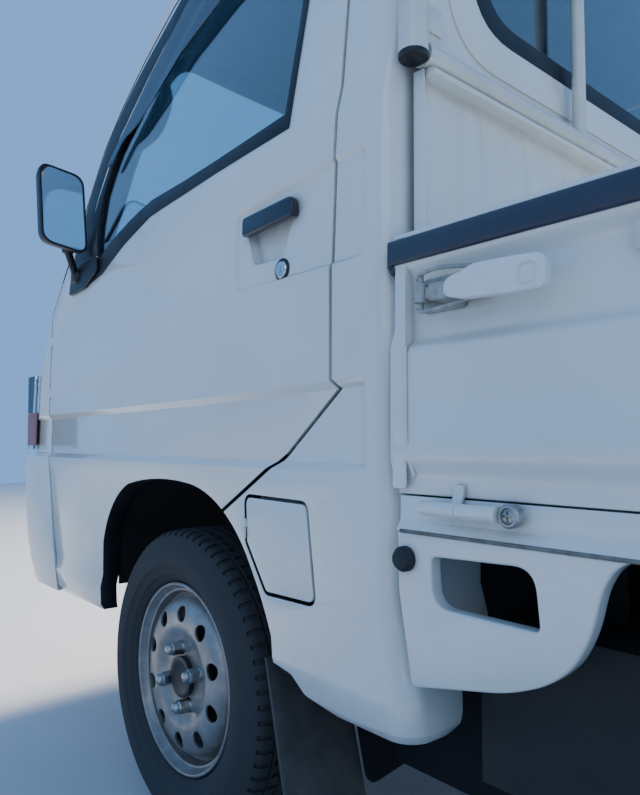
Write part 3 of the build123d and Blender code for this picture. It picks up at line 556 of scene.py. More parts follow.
def bar(points: tuple[Point, ...], radius_mm: float, sides: int, cut: float = 0.0, steps: int = 5) -> Piece:
    """Round bar through points of x, station and height in millimetres, with its bends rounded."""
    return new_tube(softened([at(*point) for point in points], cut, steps, closed=False), radius_mm, sides)


def joined(pieces: list[Piece]) -> Piece:
    """Several pieces as one object."""
    deselect()
    for piece in pieces:
        piece.select_set(True)
    bpy.context.view_layer.objects.active = pieces[0]
    bpy.ops.object.join()
    return bpy.context.object


def bevelled(piece: Piece, width_mm: float, segments: int = 2, angle: float = 30.0) -> Piece:
    """Round a piece's edges that are sharper than an angle in degrees."""
    bevel = piece.modifiers.new("edge", "BEVEL")
    bevel.width = width_mm * MM
    bevel.segments = segments
    bevel.limit_method = "ANGLE"
    bevel.angle_limit = radians(angle)
    apply_modifiers(piece)
    return piece


def select_faces(piece: Piece, test: Callable[[bpy.types.MeshPolygon], bool]) -> None:
    """Select only the faces that pass a test, and stay in edit mode with faces selectable."""
    activate(piece)
    bpy.ops.object.mode_set(mode="EDIT")
    bpy.ops.mesh.select_mode(type="FACE")
    bpy.ops.mesh.select_all(action="DESELECT")
    bpy.ops.object.mode_set(mode="OBJECT")
    for polygon in piece.data.polygons:
        polygon.select = test(polygon)
    bpy.ops.object.mode_set(mode="EDIT")


def end_edit() -> None:
    """Back to object mode, with vertices selectable again."""
    bpy.ops.mesh.select_mode(type="VERT")
    bpy.ops.object.mode_set(mode="OBJECT")


def carved(piece: Piece, tools: list[Piece]) -> Piece:
    """Cut tools out of a piece, and delete them."""
    for tool in tools:
        cutter = piece.modifiers.new("cut", "BOOLEAN")
        cutter.operation = "DIFFERENCE"
        cutter.solver = "EXACT"
        cutter.object = tool
        apply_modifiers(piece)
        bpy.data.objects.remove(tool)
    return piece


def split(place: Vector, normal: Vector, **settings: bool) -> None:
    """Bisect all of the piece that is in edit mode at a plane."""
    bpy.ops.mesh.select_all(action="SELECT")
    bpy.ops.mesh.bisect(plane_co=place, plane_no=normal, **settings)


def lean_in(height: float) -> float:
    """How far the cab's side leans in at a height, both in metres."""
    return max(0.0, height - BELT_MM * MM) * SIDE_LEAN


def on_side(piece: Piece) -> Piece:
    """Lean a piece that is modelled upright in with the cab's side above its belt."""
    edit_all(piece)
    split(UP * (BELT_MM * MM), UP)
    bpy.ops.object.mode_set(mode="OBJECT")
    for vertex in piece.data.vertices:
        vertex.co.x -= lean_in(vertex.co.z)
    return piece


def copied(source: Piece) -> Piece:
    """Copy of a piece or a node with its own mesh, free of the node's tags and parent."""
    piece = source.copy()
    piece.data = source.data.copy()
    for key in [key for key in piece.keys() if key.startswith("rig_")]:
        del piece[key]
    piece.parent = None
    bpy.context.scene.collection.objects.link(piece)
    return piece


def mirrored(piece: Piece) -> Piece:
    """Copy of a left piece on the right."""
    twin = copied(piece)
    for vertex in twin.data.vertices:
        vertex.co.x = -vertex.co.x
    twin.data.flip_normals()
    return twin


def claim(piece: Piece, name: str, finish: Finish, body: str,
          replaced: tuple[str, ...] = (), angle: float = 35.0) -> Piece:
    """Name, dress and place a finished piece on its body.

    Args:
        piece: the piece.
        name: its name.
        finish: its finish.
        body: the body that it rides on.
        replaced: nodes that it stands for.
        angle: edges sharper than this, in degrees, stay sharp.

    Returns:
        The piece.
    """
    piece.name = name
    dress(piece, finish)
    smooth(piece, angle)
    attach(piece, body)
    if replaced:
        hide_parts(*replaced)
    log.info("%s: %d faces", name, len(piece.data.polygons))
    return piece


def claim_pair(piece: Piece, name: str, finish: Finish, body: str,
               replaced: tuple[str, ...] = (), angle: float = 35.0) -> None:
    """Claim a left piece and its mirror image. A body or node name that ends in an underscore gets the side."""
    for side, one in ((Side.RIGHT, mirrored(piece)), (Side.LEFT, piece)):
        full_body = body + side.label if body.endswith("_") else body
        nodes = tuple(node + side.label for node in replaced)
        claim(one, f"{name}_{side.label}", finish, full_body, nodes, angle)


class Truck:
    """The frame that every sub-assembly is dressed on."""

    def __init__(self, frame: dict) -> None:
        """Keep the frame's nodes and the body and slot of each."""
        self.nodes: dict[str, Piece] = frame["nodes"]
        record = frame["record"]
        self.body_of = {node: body for body, nodes in record["behaviour"]["bodies"].items() for node in nodes}
        self.slot_of = {row["node"]: row["material_slot"] for row in record["subparts"]}

    def paint(self) -> None:
        """Give every node of the frame the finish of its slot."""
        for name, piece in self.nodes.items():
            dress(piece, SLOT_FINISH[self.slot_of[name]])
        log.info("painted %d nodes", len(self.nodes))

    def rounded(self, node: str, width_mm: float) -> None:
        """Put a copy of a node with its sharp edges rounded in the node's place."""
        piece = copied(self.nodes[node])
        edit_all(piece)
        bpy.ops.mesh.remove_doubles(threshold=MERGE_M)
        bpy.ops.mesh.dissolve_limited(angle_limit=radians(FLAT_DEG))
        bpy.ops.object.mode_set(mode="OBJECT")
        bevelled(piece, width_mm, 2, 32)
        slot = self.slot_of[node]
        claim(piece, f"{node}_panel", SLOT_FINISH[slot], self.body_of[node], (node,), 40)


@dataclass
class DoorTrim:
    """Seal, pillar band, visor, handle, lock and inner trim of the doors."""

    proud: float = 1.0
    seal_depth: float = 9.5
    seal_rows: Rows = (
        (353, 1157, 335, 1187), (250, 1153, 245, 1182), (148, 1149, 147, 1177), (40, 1142, 35, 1173),
        (-88, 1134, -95, 1172), (-150, 1120, -140, 1164), (-206, 1104, -180, 1155), (-262, 1083, -224, 1141),
        (-315, 1062, -279, 1125), (-413, 1047, -325, 1107), (-488, 1044, -341, 1096), (-486, 1100, -345, 1112),
        (-473, 1190, -367, 1190), (-460, 1266, -376, 1264), (-440, 1330, -360, 1318), (-418, 1394, -341, 1361),
        (-388, 1440, -314, 1390), (-358, 1478, -285, 1416), (-320, 1515, -250, 1455), (-276, 1554, -211, 1497),
        (-210, 1601, -147, 1555), (-143, 1649, -81, 1614), (-100, 1656, -55, 1626), (100, 1656, 100, 1626),
        (345, 1656, 322, 1626), (353, 1500, 332, 1500), (353, 1372, 335, 1372))
    visor_rows: Rows = (
        (-366, 1325), (-341, 1361), (-285, 1416), (-211, 1497), (-81, 1614), (-55, 1640), (330, 1640), (332, 1560),
        (200, 1556), (69, 1530), (-72, 1483), (-162, 1424), (-248, 1381), (-300, 1376), (-345, 1330))
    handle_rows: Rows = ((250, 1043, 9), (378, 1047, 13), (379, 1016, 6), (250, 1012, 7))
    lock_at: Pair = (339, 946)

    def build(self) -> None:
        """All of it, on both doors."""
        self.seal()
        self.visor()
        self.handle()
        self.lock()
        self.grip()

    def seal(self) -> None:
        """Rubber round the window, which widens into the black band along the pillar."""
        outer = [at(SIDE_MM + self.proud, s, z) for s, z, _, _ in self.seal_rows]
        inner = [at(SIDE_MM + self.proud - 1.5, s, z) for _, _, s, z in self.seal_rows]
        piece = on_side(new_ring(outer, inner, OUT * (-self.seal_depth * MM)))
        claim_pair(bevelled(piece, 1.2), "window_seal", SEAL, "door_")

    def visor(self) -> None:
        """Smoked acrylic rain visor over the window's top and front."""
        piece = on_side(side_plate(SIDE_MM + 9, self.visor_rows, 3, 14))
        claim_pair(piece, "rain_visor", SMOKED, "door_")

    def handle(self) -> None:
        """Black flap with a rounded face."""
        piece = bevelled(side_plate(748.3, self.handle_rows, 15), 4.5, 4)
        claim_pair(piece, "handle_flap", SATIN_BLACK, "door_", ("door_handle_",))

    def lock(self) -> None:
        """Chrome lock face with its key slot, in a black ring."""
        s, z = self.lock_at
        place = at(SIDE_MM - 4.3, s, z)
        ring = turned([(-3, 0), (-3, 17), (1.2, 17), (2.4, 15.6), (2.4, 13.4), (0.4, 13.0), (0.4, 0)], place)
        claim_pair(ring, "lock_ring", BLACK_PLASTIC, "door_")
        face = turned([(0, 0), (0, 13), (3.0, 13), (4.4, 11.5), (4.2, 8), (3.6, 0)], place)
        slot = side_plate(SIDE_MM + 5, ((s - 1, z - 5), (s + 1, z - 5), (s + 1, z + 5), (s - 1, z + 5)), 7)
        claim_pair(carved(face, [slot]), "lock_face", CHROME, "door_")

    def grip(self) -> None:
        """Grab handle on the pillar inside the window."""
        piece = bar(((640, -455, 1410), (610, -432, 1425), (598, -345, 1438), (598, -290, 1490), (600, -305, 1545),
                     (636, -345, 1565)), 15, 5, 32)
        claim_pair(piece, "grab_handle", INTERIOR, "chassis")


@dataclass
class Mirrors:
    """Outside mirrors: housing, glass, arm and foot."""

    centre: Pair = (801.8, 1216.0)
    head: Rows = ((846.8, 1133.7), (859.3, 1311.1), (758.0, 1299.6), (743.1, 1119.7))
    face_station: float = -387.0
    domed: Rows = ((18, 0.95), (14, 0.9), (8, 0.86))

    def outline(self, behind: float, shrink: float, cut: float = 26.0) -> list[Vector]:
        """Rounded outline of the head at a station, drawn in by a margin."""
        rows = []
        for x, z in self.head:
            side, end = (1 if x > self.centre[0] else -1), (1 if z > self.centre[1] else -1)
            rows.append((x - side * shrink, z - end * shrink))
        return in_cross_plane(behind, rows, cut, 7)

    def build(self) -> None:
        """Both mirrors."""
        face = self.face_station
        head = new_ring(self.outline(face, 0), self.outline(face, 5, 23), BACK * (-4 * MM))
        shell = new_plate(self.outline(face - 4, 0), BACK * (-10 * MM))
        low = min(polygon.center.y for polygon in shell.data.polygons)
        select_faces(shell, lambda polygon: polygon.center.y < low + 0.0001)
        for depth, scale in self.domed:
            bpy.ops.mesh.extrude_region_move(TRANSFORM_OT_translate={"value": (0, -depth * MM, 0)})
            bpy.ops.transform.resize(value=(scale, 1, scale),
                                     center_override=at(self.centre[0], 0, self.centre[1]))
        end_edit()
        housing = joined([bevelled(head, 1.4), bevelled(shell, 2.5, 3, 50)])
        claim_pair(housing, "mirror_head", BLACK_PLASTIC, "door_", ("mirror_",))
        glass = new_plate(self.outline(face - 1.6, 4.8, 23), BACK * (-2.2 * MM))
        claim_pair(glass, "mirror_face", MIRROR, "door_")
        arm = bar(((790, -424, 1160), (776, -424, 1130), (748, -448, 1084)), 8.5, 5, 14)
        knuckle = turned([(-14, 0), (-14, 10), (-11, 13), (11, 13), (14, 10), (14, 0)], at(778, -420, 1138), 24,
                         axis=UP, out=OUT)
        foot = side_plate(744.8, ((-498, 1042), (-405, 1046), (-332, 1074), (-340, 1112), (-478, 1112)), 7, 10)
        boss = turned([(0, 0), (0, 19), (5, 18), (9, 14), (10, 0)], at(744, -450, 1082), 24)
        claim_pair(joined([arm, knuckle, bevelled(foot, 2.5, 3), boss]), "mirror_arm", BLACK_PLASTIC, "door_")


@dataclass
class Gates:
    """Rubber strips, weld beads, latches, hooks, screws and buffers of the drop sides."""

    strip: Pair = (905.0, 936.0)
    front: float = 563.0
    rear: float = 2484.0
    tail_face: float = 2482.5
    tail_half: float = 699.5
    panel_front: float = 569.0
    hinges: tuple[float, ...] = (670.0, 1210.0, 1750.0, 2290.0)
    hinge_z: float = 618.0
    screw_behind_hinge: float = 63.5
    lever_rows: Rows = (
        (666, 863), (666, 851), (671, 847), (690, 842), (757, 838), (783, 837.5), (789, 842), (788, 867),
        (782, 873), (741, 876), (704, 877), (690, 872), (674, 869))
    section: Rows = (
        (737.5, 944, 7), (737.5, 903, 6), (723, 886, 9), (723, 812, 6), (737.5, 802, 7), (737.5, 692, 0),
        (739.4, 689.5, 1), (739.4, 673, 8), (729, 654, 8), (729, 630.8, 2), (713.5, 630.8, 2), (713.5, 908, 3),
        (705.5, 908, 3), (705.5, 944, 5))

    def build(self) -> None:
        """All of it, on both sides and the tail."""
        self.panels()
        self.rubber()
        self.front_post()
        self.latch()
        self.hooks()
        self.screws()
        self.buffer()

    def panel(self, front: float, rear: float, hinges: tuple[float, ...]) -> Piece:
        """Pressed gate between two stations, with its end posts and hinge barrels, as on the left side."""
        parts = [cross_plate(front, self.section, rear - front, steps=4)]
        for start in (front, rear - 19):
            post = cross_plate(start, ((714, 661), (737.5, 680), (737.5, 940), (714, 940)), 19)
            parts.append(bevelled(post, 3, 3))
        for middle in hinges:
            barrel = turned([(-50, 0), (-50, 8.4), (-0.4, 8.4), (-0.4, 0)], at(746.5, middle, self.hinge_z), 24,
                            axis=BACK, out=OUT)
            leaf = cross_plate(middle - 15, ((729.4, 645), (729.4, 634), (738, 620), (746, 620), (746, 624),
                                             (740, 625), (735, 636), (735, 645)), 13)
            parts += [bevelled(barrel, 0.8, 2, 60), bevelled(leaf, 0.8)]
        return joined(parts)

    def panels(self) -> None:
        """Both side gates, and the tailgate as one more gate turned across the truck."""
        claim_pair(self.panel(self.panel_front, self.tail_face, self.hinges), "gate_panel", ENAMEL, "gate_",
                   ("side_gate_",), 40)
        middle = -FRONT_AXLE_Y / MM
        tail = self.panel(middle - self.tail_half, middle + self.tail_half, (middle + 450, middle, middle - 450))
        for vertex in tail.data.vertices:
            across, along = vertex.co.x, vertex.co.y
            vertex.co.x, vertex.co.y = -along, station(self.tail_face - SIDE_MM) + across
        claim(tail, "tailgate_panel", ENAMEL, "tailgate", ("tailgate",), 40)

    def rubber(self) -> None:
        """Extruded rubber strip along the outer face of the top rail, turned in at the front."""
        low, high = self.strip
        strip = cross_plate(self.front, ((736.5, high), (739.5, high), (741.6, high - 4), (742.6, high - 12),
                                         (742.4, low + 8), (741, low + 2), (738.5, low), (736.5, low)),
                            self.rear - self.front)
        end = cross_plate(self.front - 4, ((714, low - 4), (714, high), (741, high), (741, low - 4)), 8)
        hook = cross_plate(self.front - 4, ((726, low - 12), (726, low), (739, low), (736, low - 8)), 10)
        whole = joined([bevelled(strip, 1.2), bevelled(end, 3, 3), bevelled(hook, 2)])
        claim_pair(whole, "gate_strip", STRIP_RUBBER, "gate_")
        tail = side_plate(-702, ((2481.5, high), (2486, high - 3), (2487.4, high - 15), (2486, low + 2),
                                 (2481.5, low)), -1404)
        claim(bevelled(tail, 1.2), "tail_strip", STRIP_RUBBER, "tailgate")

    def front_post(self) -> None:
        """Folded post at the gate's front end, with its weld bead and the ledge along the foot."""
        post = side_plate(735.5, ((563, 670), (563, 806), (571, 826), (571, 895), (588, 895), (588, 637),
                                  (567, 637), (567, 660)), -3.2, 5)
        bead = bar(((738.6, 588, 806), (738.8, 588.5, 700), (737.5, 592, 672), (731, 595, 652)), 2.3, 3, 14)
        claim_pair(joined([bevelled(post, 1.3), bead]), "gate_post", ENAMEL, "gate_")

    def latch(self) -> None:
        """Lever with a thumb recess, its wire bail, and the hinge plate on the gate."""
        lever = side_plate(765.2, self.lever_rows, 13, 5, 3)
        thumb = side_plate(768, ((758, 845), (778, 844), (778, 865), (758, 866)), 8, 7)
        lever = bevelled(carved(lever, [bevelled(thumb, 2.5, 3, 60)]), 2.6, 3, 40)
        claim_pair(lever, "latch_lever", LEVER_WHITE, "gate_", ("gate_latch_",))
        plate = bevelled(side_plate(728.3, ((606, 842), (668, 842), (668, 882), (606, 882)), 5, 6), 1.2)
        tab = bevelled(side_plate(753, ((636, 850), (704, 848), (704, 868), (636, 870)), 26, 4), 2)
        hinge = at(746, 619, 861.5)
        barrel = turned([(-11, 0), (-11, 7.4), (11, 7.4), (11, 0)], hinge, 24, axis=UP, out=OUT)
        leaf = bevelled(side_plate(747, ((612, 854), (640, 854), (640, 868), (612, 868)), 18), 1.5)
        pin = turned([(-21, 0), (-21, 3.4), (22, 3.4), (22, 0)], hinge, 16, axis=UP, out=OUT)
        bails = [bar(points, 2.4, 3, 16) for points in (
            ((752, 694, 879), (755, 650, 885), (749, 619, 883), (746, 613, 878)),
            ((752, 690, 844), (755, 650, 838), (749, 619, 840), (746, 614, 844)))]
        claim_pair(joined([plate, tab, barrel, leaf, pin, *bails]), "latch_hinge", WORN_WHITE, "gate_")

    def hooks(self) -> None:
        """Rope hooks in the gate's dished band."""
        parts = []
        for s in (865, 1400, 1940, 2330):
            hook = side_plate(739.5, ((s - 5, 862), (s - 5, 889), (s + 5, 889), (s + 5, 862)), 17, 4)
            parts.append(bevelled(hook, 2))
        claim_pair(joined(parts), "rope_hooks", GUARD_ENAMEL, "gate_")

    def screws(self) -> None:
        """Cross-headed screw beside each hinge barrel."""
        parts, z = [], self.hinge_z
        for hinge in self.hinges:
            s = hinge + self.screw_behind_hinge
            head = turned([(-9, 0), (-9, 12.2), (1, 12.2), (2.6, 10.6), (2.6, 8.6), (0.8, 8.0), (2.4, 5.5),
                           (2.6, 0)], at(747.2, s, z), 24)
            slots = [side_plate(752, ((s - wide, z - tall), (s + wide, z - tall), (s + wide, z + tall),
                                      (s - wide, z + tall)), 4.4) for wide, tall in ((1.2, 5.4), (5.4, 1.2))]
            parts.append(carved(head, slots))
        claim_pair(joined(parts), "hinge_screws", ZINC, "chassis")

    def buffer(self) -> None:
        """Rubber buffer that the folded gate rests on."""
        piece = turned([(-3, 0), (-3, 14.6), (7, 14.6), (8.6, 13.4), (9.6, 12.6), (11.6, 11.4), (12.4, 9),
                        (12.6, 0)], at(SIDE_MM, 587.5, 557), 36)
        claim_pair(piece, "gate_buffer", RUBBER, "chassis")


@dataclass
class Skirts:
    """Pressed skirt panels behind the cab, with their rolled opening."""

    edge: Rows = (
        (573.5, 588, 0), (575, 519, 3), (594.5, 413.5, 8), (722, 440, 26), (766, 459, 30), (794, 482, 30),
        (812, 515, 26), (823, 558, 14), (834, 577, 10), (850, 588, 0))
    hole: Rows = ((623.4, 563.3, 9), (753.7, 568.4, 24), (759.7, 507.6, 8), (626, 508.5, 24))

    def build(self) -> None:
        """Both panels."""
        panel = side_plate(SIDE_MM, self.edge, 20, steps=8)
        opening = side_plate(SIDE_MM + 20, self.hole, 60, steps=8)
        left = bevelled(carved(panel, [opening]), 5.0, 4, 50)
        right = mirrored(left)
        claim(joined([left, right]), "skirt_pair", ENAMEL, "chassis", ("skirt_panels",), 60)
        seam = tuple((SIDE_MM + 0.6, s, 588.5) for s in (579, 900, 1600, 2400))
        claim_pair(bar(seam, 2.1, 3), "seam_sealer", SEALER, "chassis")


@dataclass
class Guard:
    """Tubular guard frame behind the cab, and the ribbed headboard under it."""

    station_mm: float = 582.0
    post_x: float = 716.0
    low: float = 1176.0
    top: float = 1760.0
    bar_z: float = 1181.0
    rib_pitch: float = 108.0
    rib_count: int = 12
    board_half: float = 697.5
    board_front: float = 566.0
    board_back: float = 574.0
    board_low: float = 660.3

    def build(self) -> None:
        """Frame, end caps and headboard."""
        self.frame_tubes()
        self.board()

    def frame_tubes(self) -> None:
        """Hoop, cross bar, two uprights and the brackets."""
        s, post, low, top = self.station_mm, self.post_x, self.low, self.top
        parts = [bar(((post, s, low), (post, s, top), (-post, s, top), (-post, s, low)), 19, 8, 80, 10),
                 bar(((post - 17, s, self.bar_z), (17 - post, s, self.bar_z)), 16, 7)]
        parts += [bar(((x, s, self.bar_z), (x, s, top)), 11, 6) for x in (311, -311)]
        for sign in (1, -1):
            for foot, head, depth, ahead in ((1188, 1212, 13, 2), (1221, 1257, 13, 2), (1182, 1256, 6, 5)):
                rows = ((sign * 653, foot), (sign * 690, foot), (sign * 690, head), (sign * 653, head))
                parts.append(bevelled(cross_plate(s - ahead, rows, -depth, 7), 1.5))
        claim(joined(parts), "guard_tubes", GUARD_ENAMEL, "chassis", ("guard_frame",), 45)
        caps = [turned([(0, 0), (0, 17), (-2, 19.3), (-6.5, 19.3), (-8, 18), (-8, 0)], at(x, s, low + 1), axis=UP,
                       out=OUT) for x in (post, -post)]
        claim(joined(caps), "tube_caps", BLACK_PLASTIC, "chassis")

    def board(self) -> None:
        """Pressed plate whose ribs fade out below its folded top."""
        half, front, back = self.board_half, self.board_front, self.board_back
        line = [(half, front), (half, back)]
        for i in reversed(range(self.rib_count)):
            x = (i - (self.rib_count - 1) / 2) * self.rib_pitch
            line += [(x + 27, back), (x + 22, back + 4), (x + 17, back + 7.6), (x - 17, back + 7.6),
                     (x - 22, back + 4), (x - 27, back)]
        line += [(-half, back), (-half, front)]
        plate = new_plate([at(x, s, self.board_low) for x, s in line], UP * (504.4 * MM))
        edit_all(plate)
        for z in (1108, 1146):
            split(UP * (z * MM), UP)
        bpy.ops.object.mode_set(mode="OBJECT")
        for vertex in plate.data.vertices:
            if vertex.co.z > 1140 * MM:
                vertex.co.y = min(vertex.co.y, station(back))
        flange = side_plate(694, ((565.5, 1148), (568, 1165), (590, 1165), (599, 1160), (599, 1153), (575, 1152),
                                  (572, 1148)), 1388)
        parts = [plate, bevelled(flange, 2)]
        for sign in (1, -1):
            fold = [at(sign * x, s, self.board_low) for x, s in (
                (686, 567), (699.5, 567), (699.5, 584), (696, 584), (694, 575), (686, 575))]
            parts.append(bevelled(new_plate(fold, UP * (503 * MM)), 0.8))
        claim(joined(parts), "headboard_panel", ENAMEL, "chassis", ("headboard",), 50)


@dataclass
class Wheels:
    """Tyres with tread, rims, brake drums, nuts, hub caps and valves."""

    steps: int = 216
    groove: float = 4.0
    vents: int = 10
    vent_circle: float = 112.0
    nut_count: int = 4
    nut_circle: float = 50.0

    def build(self) -> None:
        """One left wheel, copied to the four places."""
        cap = turned([(-4, 0), (-4, 34), (9.6, 36.6), (10.6, 35.6), (11, 33), (10.6, 25), (9.8, 23.5), (9.8, 0)],
                     at(690, 0, AXLE_MM), 48)
        valve = bar(((672, -128, AXLE_MM), (690, -121, AXLE_MM), (698, -118, AXLE_MM)), 3.6, 3)
        kinds = ((self.tyre(), "tyre_tread", TYRE, "tyre_rubber", "tyre"),
                 (self.rim(), "rim_disc", WHEEL_STEEL, "wheel_steel", "rim"),
                 (self.drum(), "brake_drum", CAST, "cast_dark", ""),
                 (self.nuts(), "wheel_nuts", ZINC, "wheel_steel", ""),
                 (cap, "hub_cap", BLACK_PLASTIC, "black_plastic", ""),
                 (valve, "valve", RUBBER, "rubber_black", ""))
        for axle, side in product(Axle, Side):
            place = f"{axle.label}_{side.label}"
            for base, kind, finish, slot, node in kinds:
                piece = copied(base)
                for vertex in piece.data.vertices:
                    vertex.co.x *= side.value
                    vertex.co.y += axle.value - FRONT_AXLE_Y
                if side is Side.RIGHT:
                    piece.data.flip_normals()
                nodes = (f"{node}_{place}",) if node else ()
                claim(piece, f"{kind}_{place}", finish, f"wheel_{place}", nodes, 30)
        for base, *_ in kinds:
            bpy.data.objects.remove(base)

    def tyre(self) -> Piece:
        """Turned tyre with grooved tread and a ribbed sidewall."""
        half = [(38.0, 152.6), (45, 168), (55, 171), (60, 176), (64, 183), (65.6, 184), (68.4, 191), (71.4, 199),
                (73.1, 201), (74.4, 212), (74.4, 221), (71.5, 229), (72.1, 231), (70.4, 236), (66.5, 245),
                (61.5, 253.5), (57, 259), (50, 262.6), (37, 264.2), (35.5, 258.7), (31.5, 258.7), (30, 264.6),
                (14, 265), (12.5, 259.5), (8.5, 259.5), (7, 265)]
        profile = half + [(-x, r) for x, r in reversed(half)] + [(-36, 190), (0, 215), (36, 190)]
        centre = at(TRACK_HALF_MM, 0, AXLE_MM)
        piece = turned(profile, centre, self.steps)

        def grooved(polygon: bpy.types.MeshPolygon) -> bool:
            """Whether a face of the tread is the floor of a cross groove."""
            reach = polygon.center - centre
            radius = hypot(reach.y, reach.z) / MM
            turn = int(round(self.steps * (atan2(reach.z, reach.y) % tau) / tau - 0.5))
            across = reach.x / MM
            shoulder = abs(across) > 38 and radius > 250 and (turn + (1 if across > 0 else 0)) % 3 == 0
            middle = 14 < abs(across) < 30 and radius > 262 and turn % 3 == 2
            return shoulder or middle

        select_faces(piece, grooved)
        bpy.ops.mesh.extrude_region_shrink_fatten(TRANSFORM_OT_shrink_fatten={"value": -self.groove * MM})
        end_edit()
        return piece

    def drum(self) -> Piece:
        """Brake drum seen through the wheel's vents."""
        return turned([(0, 0), (0, 118), (4, 124), (44, 124), (50, 118), (50, 40), (44, 30), (44, 0)],
                      at(618, 0, AXLE_MM), 48)

    def rim(self) -> Piece:
        """Pressed steel rim: rolled lip, well and a domed disc with round vents."""
        lip, back, disc = 702.0, 588.0, 690.0
        well = [(back, 166), (back + 6, 167.5), (back + 11, 166), (back + 13, 152), (back + 34, 148),
                (back + 44, 126), (lip - 44, 126), (lip - 32, 149), (lip - 15, 152), (lip - 11, 163),
                (lip - 8, 166.5), (lip - 4, 167.8), (lip - 1, 166.8), (lip, 164.5), (lip - 1, 162.2),
                (lip - 4, 160.6), (lip - 8, 159.4), (lip - 13, 155.5), (lip - 22, 151), (lip - 31, 148),
                (lip - 37, 141), (lip - 42, 122), (back + 42, 122), (back + 31, 144), (back + 13, 147),
                (back + 5, 160)]
        dome = [(disc - 5, 0), (disc + 3, 0), (disc + 3, 31), (disc, 34), (disc - 1, 62), (disc + 1, 69),
                (disc + 5.5, 77), (disc + 9.5, 85), (disc + 11, 93), (disc + 11.2, 103), (disc + 10.4, 113),
                (disc + 8, 122), (disc + 3.5, 130), (disc - 3, 136), (disc - 12, 139.5), (disc - 27, 143.5),
                (disc - 27, 139.5), (disc - 13, 136), (disc - 5, 131), (disc + 3.6, 120), (disc + 6.2, 112),
                (disc + 7, 103), (disc + 6.6, 93), (disc + 4, 84), (disc - 3, 70), (disc - 6, 62)]
        centre = at(0, 0, AXLE_MM)
        parts = [turned(well, centre, 96)]
        plate = turned(dome, centre, 120)
        holes = []
        for k in range(self.vents):
            angle = radians(18 + 360 / self.vents * k)
            place = at(665, self.vent_circle * cos(angle), AXLE_MM + self.vent_circle * sin(angle))
            holes.append(turned([(0, 0), (0, 14.5), (60, 14.5), (60, 0)], place, 24))
        parts.append(bevelled(carved(plate, [joined(holes)]), 1.3, 2, 50))
        return joined(parts)

    def nuts(self) -> Piece:
        """Four wheel nuts on their cones, with the studs' domed ends."""
        parts = []
        for k in range(self.nut_count):
            angle = radians(17 + 360 / self.nut_count * k)
            place = at(690, self.nut_circle * cos(angle), AXLE_MM + self.nut_circle * sin(angle))
            cone = turned([(-4, 0), (-4, 13.5), (0.5, 13.5), (5, 11), (5, 0)], place, 24)
            nut = turned([(3, 0), (3, 13.0), (21, 13.0), (23.4, 11.4), (23.4, 0)], place, 6,
                         out=Vector((0, cos(angle + 0.3), sin(angle + 0.3))))
            stud = turned([(22, 0), (22, 10.6), (26.5, 10.2), (30, 7.8), (31.6, 4), (32, 0)], place, 20)
            parts += [cone, bevelled(nut, 0.8, 2, 25), stud]
        return joined(parts)


